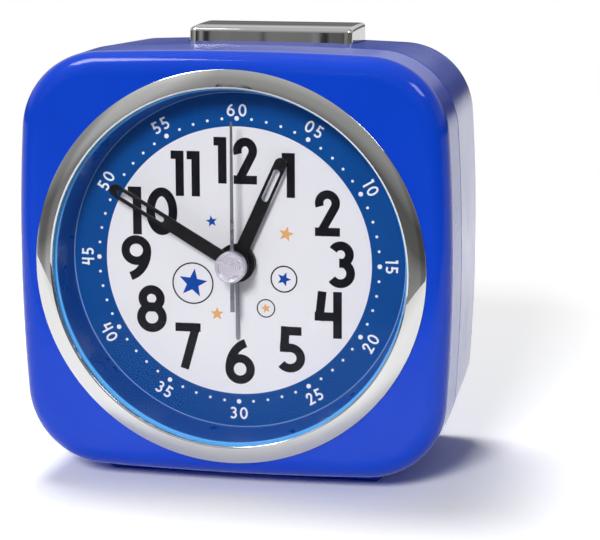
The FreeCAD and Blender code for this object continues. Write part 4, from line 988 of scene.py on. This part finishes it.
FIGURES = {
    "0": (0.669, [bend(0.3345, 0.5, 0.2415, 0.407, 90, -270, 48)]),
    "1": (0.255, [[(0.162, 1), (0.162, 0)], [(0.06, 1), (0.06, 0.815)]]),
    "2": (0.55, [bend(0.275, 0.717, 0.182, 0.19, 203, -30) + [(0.1, 0.03)],
                 [(0.0, 0.0925), (0.55, 0.0925)]]),
    "3": (0.555, [bend(0.249, 0.717, 0.1865, 0.1865, 150, -90) + [(0.215, 0.5305)],
                  [(0.215, 0.5415)] + bend(0.24, 0.32, 0.2215, 0.2215, 90, -145)]),
    "4": (0.598, [[(0.166, 1), (0.096, 0.372)], [(0.0, 0.4645), (0.5, 0.4645)],
                  [(0.4945, 1), (0.4945, 0)]]),
    "5": (0.577, [[(0.06, 0.9025), (0.5, 0.9025)], [(0.158, 1), (0.128, 0.446)],
                  [(0.035, 0.5415)] + bend(0.252, 0.32, 0.2315, 0.2215, 90, -143)]),
    "6": (0.667, [bend(0.3335, 0.329, 0.235, 0.235, 90, -270, 48),
                  bend(0.602, 0.33, 0.505, 0.597, 180, 106)]),
    "7": (0.579, [[(0.0, 0.9025), (0.56, 0.9025)], [(0.4745, 0.98), (0.194, 0)]]),
    "8": (0.655, [bend(0.3275, 0.723, 0.191, 0.191, 90, -270, 48),
                  bend(0.3275, 0.318, 0.2285, 0.2285, 90, -270, 48)]),
}
FIGURES["9"] = (0.667, [[(0.667 - x, 1 - y) for x, y in path] for path in FIGURES["6"][1]])
FIGURE_GAPS = {"10": 0.104, "11": 0.093, "12": 0.17}
HOUR_FIGURES = (
    ("12", -0.2, 21.4, 8.9, 9.8), ("1", 11.1, 18.6, 2.6, 9.4), ("2", 19.2, 10.9, 5.3, 9.7),
    ("3", 22.3, 0.1, 5.5, 10.0), ("4", 19.4, -10.7, 5.9, 10.0), ("5", 11.5, -18.5, 5.8, 10.0),
    ("6", 0.3, -21.5, 6.5, 9.9), ("7", -10.9, -18.6, 5.7, 10.0), ("8", -18.9, -10.9, 6.7, 10.1),
    ("9", -22.1, 0.0, 6.7, 9.8), ("10", -18.2, 10.2, 10.4, 10.2), ("11", -11.0, 18.4, 6.0, 9.6))


def figure_paths(text, gap):
    """Stroke paths of a whole number and its width, in units of its height."""
    paths, across = [], 0.0
    for figure in text:
        width, strokes = FIGURES[figure]
        paths += [[(across + x, y) for x, y in path] for path in strokes]
        across += width + gap
    return paths, across - gap


def ribbon(bm, path, half, depth, film):
    """Thin flat stroke of one width along a path in the dial plane."""
    closed = (Vector(path[0]) - Vector(path[-1])).length < 0.01 * MM
    points = [Vector(point) for point in (path[:-1] if closed else path)]
    count = len(points)
    sides = []
    for index, point in enumerate(points):
        before = points[index - 1] if closed or index else point
        after = points[(index + 1) % count] if closed or index < count - 1 else point
        arrive = (point - before).normalized() if point != before else (after - point).normalized()
        leave = (after - point).normalized() if after != point else arrive
        along = (arrive + leave).normalized()
        normal = Vector((-along.y, along.x))
        spread = half / max(0.5, normal.dot(Vector((-arrive.y, arrive.x))))
        sides.append((point + normal * spread, point - normal * spread))
    left = [bm.verts.new(spot(a.x, a.y, depth)) for a, b in sides]
    pairs = list(zip(left, left[1:] + left[:1])) if closed else list(zip(left, left[1:]))
    edges = [bm.edges.new(pair) for pair in pairs]
    faces = extruded(bm, edges, left, [spot(b.x, b.y, depth) for a, b in sides])[1]
    thicken(bm, faces, film)


def thicken(bm, faces, film):
    """Gives flat faces in the dial plane their thickness, towards the front."""
    grown = bmesh.ops.extrude_face_region(bm, geom=faces, use_keep_orig=True)["geom"]
    verts = [item for item in grown if isinstance(item, bmesh.types.BMVert)]
    bmesh.ops.translate(bm, verts=verts, vec=(0.0, -film, 0.0))


def set_number(bm, text, centre, size, turn, depth, weight, gap):
    """Number whose box has its middle at a place and its top turned clockwise."""
    paths, width = figure_paths(text, gap)
    cosine, sine = math.cos(math.radians(turn)), math.sin(math.radians(turn))
    for index, path in enumerate(paths):
        laid = []
        for x, y in path:
            across, up = (x / width - 0.5) * size[0], (y - 0.5) * size[1]
            laid.append((centre[0] + across * cosine + up * sine,
                         centre[1] - across * sine + up * cosine))
        ribbon(bm, laid, weight * size[1] / 2, depth, print_film + index * stroke_step)


def hour_figures():
    """Hour numbers on the white disc."""
    bm = bmesh.new()
    for text, x, z, width, height in HOUR_FIGURES:
        set_number(bm, text, (x * MM, z * MM), (width * MM, height * MM), 0.0,
                   print_depth, STROKE, FIGURE_GAPS.get(text, 0.0))
    return outward(bm)


def minute_figures():
    """Minute numbers round the dial, read from the middle above and from outside below."""
    bm = bmesh.new()
    for step in range(12):
        text = "60" if step == 0 else "%02d" % (step * 5)
        angle = step * 30.0
        turn = angle + 180.0 if 4 <= step <= 8 else angle
        radius, gap = (minute_circle, minute_gap) if step else (minute_circle_top, minute_gap_top)
        width = figure_paths(text, gap)[1]
        set_number(bm, text, polar(radius, angle), (width * minute_height, minute_height), turn,
                   sheet_depth, minute_stroke, gap)
    return outward(bm)


def minute_dots():
    """Sixty dots, every fifth one larger."""
    bm = bmesh.new()
    for step in range(60):
        radius = small_dot if step % 5 else large_dot
        add_shape(bm, rod(radius, print_depth, sheet_depth, *polar(dot_circle, step * 6.0), 20))
    return bm


def star(bm, x, z, radius, turn):
    """Flat star on the dial."""
    verts = []
    for step in range(2 * star_points):
        reach = radius if step % 2 == 0 else radius * star_waist
        dx, dz = polar(reach, turn + step * 180.0 / star_points)
        verts.append(bm.verts.new(spot(x + dx, z + dz, print_depth)))
    thicken(bm, bmesh.ops.contextual_create(bm, geom=verts)["faces"], print_film)


def print_stars(places):
    """Stars of one colour."""
    bm = bmesh.new()
    for x, z, radius, turn in places:
        star(bm, x * MM, z * MM, radius * MM, turn)
    return outward(bm)


def print_rings(places):
    """Rings of one colour."""
    bm = bmesh.new()
    for x, z, radius, width in places:
        inner, outer = radius * MM - width * MM, radius * MM
        front = print_depth - print_film
        add_shape(bm, spun([(inner, front), (outer, front), (outer, print_depth),
                            (inner, print_depth)], x * MM, z * MM, 64))
    return bm


def knob_loop(place, radius, depth):
    """Ridged outline of a knob: shallow round grooves between narrow ridges."""
    loop = []
    steps = knob_ridges * ridge_steps
    full = (knob_boxes["time_knob"][1].x - knob_boxes["time_knob"][0].x) / 2
    for step in range(steps):
        share = (step % ridge_steps) / ridge_steps - 0.5
        offset = share * 2 * math.pi * full / knob_ridges
        cut = 0.0
        if abs(offset) < ridge_reach:
            cut = math.sqrt(ridge_groove ** 2 - offset ** 2) - ridge_groove / 2
        turn = 2 * math.pi * (step / steps)
        reach = radius - cut * radius / full
        loop.append(spot(place[0] + reach * math.cos(turn), place[1] + reach * math.sin(turn),
                         depth))
    return loop


def knob_shape(name):
    """Ridged knob with a rounded rim and a dished end."""
    low, high = knob_boxes[name]
    place, radius = KNOB_PLACES[name], (high.x - low.x) / 2
    start, end = low.y - front_y, high.y - front_y
    steps = [(radius - knob_start_edge, start), (radius, start + knob_start_edge),
             (radius, end - knob_edge)]
    steps += [(radius - inset, end - rise) for inset, rise in reversed(edge_curve(knob_edge, 4))]
    loops = [knob_loop(place, reach, depth) for reach, depth in steps]
    for share in DISH_SHARES:
        depth = end - knob_dish * (1 - (share / dish_reach) ** 2)
        inward = [spot(*place, depth).lerp(point, share) for point in loops[0]]
        loops.append([Vector((point.x, front_y + depth, point.z)) for point in inward])
    return loft(loops)


def bar_shape():
    """Snooze bar: cap with a leaning front, a crowned top and a hollow underside."""
    low = Vector((bar_low.x + bar_flange, bar_low.y + bar_flange, bar_high.z - bar_height))
    high = Vector((bar_high.x - bar_flange, bar_high.y - bar_flange, bar_high.z))
    bm = block(low, high)
    round_edges(bm, long_edges(bm.edges, 2), bar_corner, bar_round_steps)
    top = [e for e in bm.edges if all(v.co.z > high.z - rim_edge for v in e.verts)]
    round_edges(bm, top, bar_edge, bar_round_steps)
    middle, half = (low.y + high.y) / 2, (high.y - low.y) / 2
    for step in range(2 - bar_slices, bar_slices - 1):
        bmesh.ops.bisect_plane(bm, geom=bm.verts[:] + bm.edges[:] + bm.faces[:],
                               dist=rim_edge / 10, plane_no=(0.0, 1.0, 0.0),
                               plane_co=(0.0, middle + step * half / bar_slices, 0.0))
    for vert in bm.verts:
        share, rise = (vert.co.y - middle) / half, vert.co.z - low.z
        vert.co.z -= bar_crown * share ** 2 * rise / bar_height
        if share < 0:
            vert.co.y -= share * rise * math.tan(bar_lean)
    under = [f for f in bm.faces if f.normal.z < -0.9]
    bmesh.ops.inset_region(bm, faces=under, thickness=bar_wall, depth=0.0)
    bmesh.ops.translate(bm, verts=list({v for f in under for v in f.verts}),
                        vec=(0.0, 0.0, bar_height - bar_wall - bar_crown))
    return outward(bm)


def cap_shape():
    """Turned button over the hands: raised rim, dished face, rounded shoulder."""
    radius = (cap_high.x - cap_low.x) / 2
    start, end = cap_low.y - front_y, cap_high.y - front_y
    face, floor, soft = radius - cap_rim, start + cap_dish, cap_round
    return spun(rounded([(0.0, floor, 0.0), (face - 2 * cap_line, floor, 0.0),
                         (face - cap_line, floor + cap_line, 0.0), (face, floor, soft),
                         (face + cap_line, start, soft), (radius - cap_line, start, soft),
                         (radius, start + cap_shoulder, soft), (radius, end, soft),
                         (0.0, end, 0.0)], 3), steps=96)


def cell_shape():
    """Battery cell with its raised end, turned about an axis along X."""
    radius = (cell_high.z - cell_low.z) / 2
    y, z = (cell_low.y + cell_high.y) / 2, (cell_low.z + cell_high.z) / 2
    end = cell_high.x - nub_height
    profile = rounded([(0.0, cell_low.x, 0.0), (radius, cell_low.x, cell_round),
                       (radius, end, cell_round), (nub_radius, end, 0.0),
                       (nub_radius, cell_high.x, cell_round / 2), (0.0, cell_high.x, 0.0)], 3)
    return turned([(x, y, z + reach) for reach, x in profile], (0.0, y, z), (1.0, 0.0, 0.0), 64,
                  False)


def make_case():
    """Shells, foot, bezel, lens and the ring round the dial."""
    piece("front_shell", front_shell(), "case", BLUE, ["front_case"])
    piece("rear_shell", rear_shell(), "case", BLUE, ["rear_case"])
    piece("foot_block", foot_block(), "case", BLUE, ["foot"])
    piece("chrome_bezel", bezel_shape(), "case", CHROME, ["bezel_ring"])
    piece("clear_lens", lens_shape(), "case", LENS, ["lens"])
    piece("blue_dial_ring", dial_ring_shape(), "case", RING_BLUE, ["dial_ring"])


def make_dial():
    """Dial sheet and the print on it."""
    sheet = flat_ring(dial_hole, sheet_radius, sheet_depth, sheet_back_depth)
    piece("dial_sheet", sheet, "case", DIAL_BLUE, ["dial_plate"])
    disc = flat_ring(dial_hole, disc_radius, print_depth, sheet_depth)
    line = flat_ring(line_circle - line_width / 2, line_circle + line_width / 2, print_depth,
                     sheet_depth)
    for name, shape, ink in (("dial_white_disc", disc, DIAL_WHITE),
                             ("dial_light_line", line, PRINT_LINE),
                             ("hour_figures", hour_figures(), PRINT_BLACK),
                             ("minute_figures", minute_figures(), PRINT_WHITE),
                             ("minute_dots", minute_dots(), PRINT_WHITE),
                             ("dial_blue_stars", print_stars(BLUE_STARS), PRINT_STAR),
                             ("dial_orange_stars", print_stars(ORANGE_STARS), PRINT_ORANGE),
                             ("dial_black_rings", print_rings(BLACK_RINGS), PRINT_BLACK)):
        piece(name, shape, "case", ink)


def make_hands():
    """The four hands and the cap over their hub."""
    for node, slot, material, edge in (("hour_hand", "hand_black", HAND_BLACK, hand_edge),
                                       ("minute_hand", "hand_black", HAND_BLACK, hand_edge),
                                       ("second_hand", "hand_silver", HAND_SILVER, thin_hand_edge),
                                       ("alarm_hand", "hand_silver", HAND_SILVER, thin_hand_edge)):
        piece(node + "_blade", copied(node, edge), node + "_group", material, [node])
    metal = turned_metal("turned silver cap", (234, 229, 238), (204, 198, 210),
                         Vector((0.0, 0.0, dial_z)))
    piece("hub_cap", cap_shape(), "second_hand_group", metal, ["hand_cap"])


def make_controls():
    """What a hand presses, turns, slides or opens, with the battery and the bar's springs."""
    piece("snooze_cap", bar_shape(), "snooze", CHROME, ["snooze_bar"])
    for name, body in (("time_knob", "time_setting"), ("alarm_knob", "alarm_setting")):
        piece(name + "_grip", knob_shape(name), body, KNOB_BLACK, [name])
    piece("alarm_slider_grip", copied("alarm_switch_slider", lid_edge), "alarm_slider",
          SWITCH, ["alarm_switch_slider"])
    piece("battery_lid", copied("battery_door", lid_edge), "door", BLUE,
          ["battery_door"])
    piece("battery", cell_shape(), "case", CELL_WRAP, ["battery_cell"])
    springs = piece("return_springs", copied("snooze_springs"), "case", STEEL,
                    ["snooze_springs"])
    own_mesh(springs)


NODE_FINISHES = (
    (INNER, ("movement_carrier",)),
    (MOVEMENT, ("movement_front_plate", "movement_middle_plate", "movement_back_cover")),
    (GEAR, ("seconds_wheel", "third_wheel", "centre_wheel", "minute_tube", "motion_wheel",
            "hour_wheel", "alarm_wheel", "intermediate_wheel", "time_shaft", "alarm_shaft")),
    (MAGNET, ("rotor",)),
    (STEEL, ("stator", "coil_core", "quartz_crystal", "alarm_trip_spring", "case_screws",
             "movement_screws")),
    (COPPER, ("coil",)),
    (BOARD, ("circuit_board",)),
    (CONTACT, ("positive_contact", "negative_contact")),
    (SWITCH, ("snooze_switch", "snooze_switch_button", "alarm_switch_body", "sounder")))


def finish_nodes():
    """Gives every frame node that stays a material of its own kind."""
    for material, names in NODE_FINISHES:
        for name in names:
            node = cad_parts[name]
            node.data.materials.clear()
            node.data.materials.append(material)
    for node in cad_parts.values():
        if node.hide_render:
            node.data.materials.clear()
            node.data.materials.append(INNER)


def make_camera():
    """Camera where the photograph was taken."""
    camera = bpy.data.cameras.new("camera")
    camera.lens, camera.sensor_width = camera_lens, camera_sensor
    camera.sensor_fit = "HORIZONTAL"
    made = scene_object("camera", camera)
    turn = Matrix.Rotation(math.radians(camera_yaw), 4, "Z")
    tilt = Matrix.Rotation(math.radians(90.0 - camera_pitch), 4, "X")
    roll = Matrix.Rotation(math.radians(camera_roll), 4, "Z")
    made.matrix_world = Matrix.Translation(camera_place) @ turn @ tilt @ roll
    bpy.context.scene.camera = made


def lamp(name, place, size, power, mirrored):
    """Soft lamp aimed at the clock: one that lights, or one that is only mirrored."""
    light = bpy.data.lights.new(name, "AREA")
    light.shape = "RECTANGLE"
    light.size, light.size_y = size
    light.energy = power
    made = scene_object(name, light)
    aim = (lamp_target - Vector(place)).to_track_quat("-Z", "Y")
    made.matrix_world = Matrix.Translation(place) @ aim.to_matrix().to_4x4()
    made.visible_glossy = mirrored
    made.visible_diffuse = not mirrored


def seen_ray(tree):
    """1 where a ray from the camera, a reflection or a clear surface looks, else 0."""
    path = add_node(tree, "LightPath").outputs
    return larger(tree, larger(tree, path["Is Camera Ray"], path["Is Glossy Ray"]),
                  path["Is Transmission Ray"])


def grey_ramp(tree, value, stops):
    """Grey tone that follows a value through (value, grey) stops."""
    low, high = stops[0][0], stops[-1][0]
    share = add_node(tree, "MapRange", {"Value": value, "From Min": low, "From Max": high})
    ramp = add_node(tree, "ValToRGB", {"Fac": share.outputs["Result"]})
    points = ramp.color_ramp.elements
    points.remove(points[1])
    for index, (place, grey) in enumerate(stops):
        where = (place - low) / (high - low)
        point = points.new(where) if index else points[0]
        point.position = where
        point.color = (grey, grey, grey, 1.0)
    return ramp.outputs["Color"]


def room_tone(tree):
    """Room in the reflections: pale behind, grey in front, dark at the front corners."""
    way = add_node(tree, "SeparateXYZ", {
        "Vector": add_node(tree, "TexCoord").outputs["Generated"]}).outputs
    front = mixed(tree, 1.0, grey_ramp(tree, way["Z"], ROOM_FRONT),
                  grey_ramp(tree, way["X"], ROOM_SIDES), "MULTIPLY")
    striped = mixed(tree, 1.0, front, grey_ramp(tree, way["X"], ROOM_STRIPES), "MULTIPLY")
    front = mixed(tree, soft_step(tree, way["Z"], *stripe_fade), striped, front)
    return mixed(tree, soft_step(tree, way["Y"], *back_fade), front,
                 grey_ramp(tree, way["Z"], ROOM_BACK))


def make_world():
    """Even light, a white background, and a studio room that only glossy surfaces see."""
    world = bpy.data.worlds.new("studio room")
    bpy.context.scene.world = world
    world.use_nodes = True
    tree = world.node_tree
    white = (1.0, 1.0, 1.0, 1.0)
    light = tree.nodes["Background"]
    feed(tree, white, light.inputs["Color"])
    feed(tree, ambient_light, light.inputs["Strength"])
    glossy = add_node(tree, "LightPath").outputs["Is Glossy Ray"]
    seen = add_node(tree, "Background", {"Color": mixed(tree, glossy, white, room_tone(tree))})
    show(tree, mixed_shader(tree, seen_ray(tree), light.outputs["Background"],
                            seen.outputs["Background"]), "World Output")


def floor_material():
    """Pale matt floor that looks white to the camera, keeps the shadow and fades out far away."""
    material = surface("pale floor", (232, 232, 232), (228, 228, 228), (0.8, 0.9), mottle=3.0)
    tree = material.node_tree
    where = object_place(tree)
    way = add_node(tree, "SeparateXYZ", {"Vector": where}).outputs
    far = larger(tree, soft_step(tree, length(tree, where), floor_fade, floor_plain),
                 soft_step(tree, way["Y"], -floor_front_fade, -floor_front))
    diffuse = add_node(tree, "BsdfDiffuse", {"Color": (floor_white, floor_white, floor_white, 1.0)})
    plain = add_node(tree, "Emission")
    seen = mixed_shader(tree, far, diffuse.outputs["BSDF"], plain.outputs["Emission"])
    show(tree, mixed_shader(tree, seen_ray(tree), glossy_shader(tree).outputs[0], seen))
    return material


def make_studio():
    """Floor and lamps."""
    bm = bmesh.new()
    centre = Matrix.Translation((0.0, floor_radius - floor_front, 0.0))
    bmesh.ops.create_circle(bm, cap_ends=True, segments=floor_steps, radius=floor_radius,
                            matrix=centre)
    floor = shape_object(bm, "floor")
    floor.data.materials.append(floor_material())
    for values in LAMPS:
        lamp(*values)


make_case()
make_dial()
make_hands()
make_controls()
finish_nodes()
make_camera()
make_world()
make_studio()
bpy.context.scene.view_settings.view_transform = "Standard"
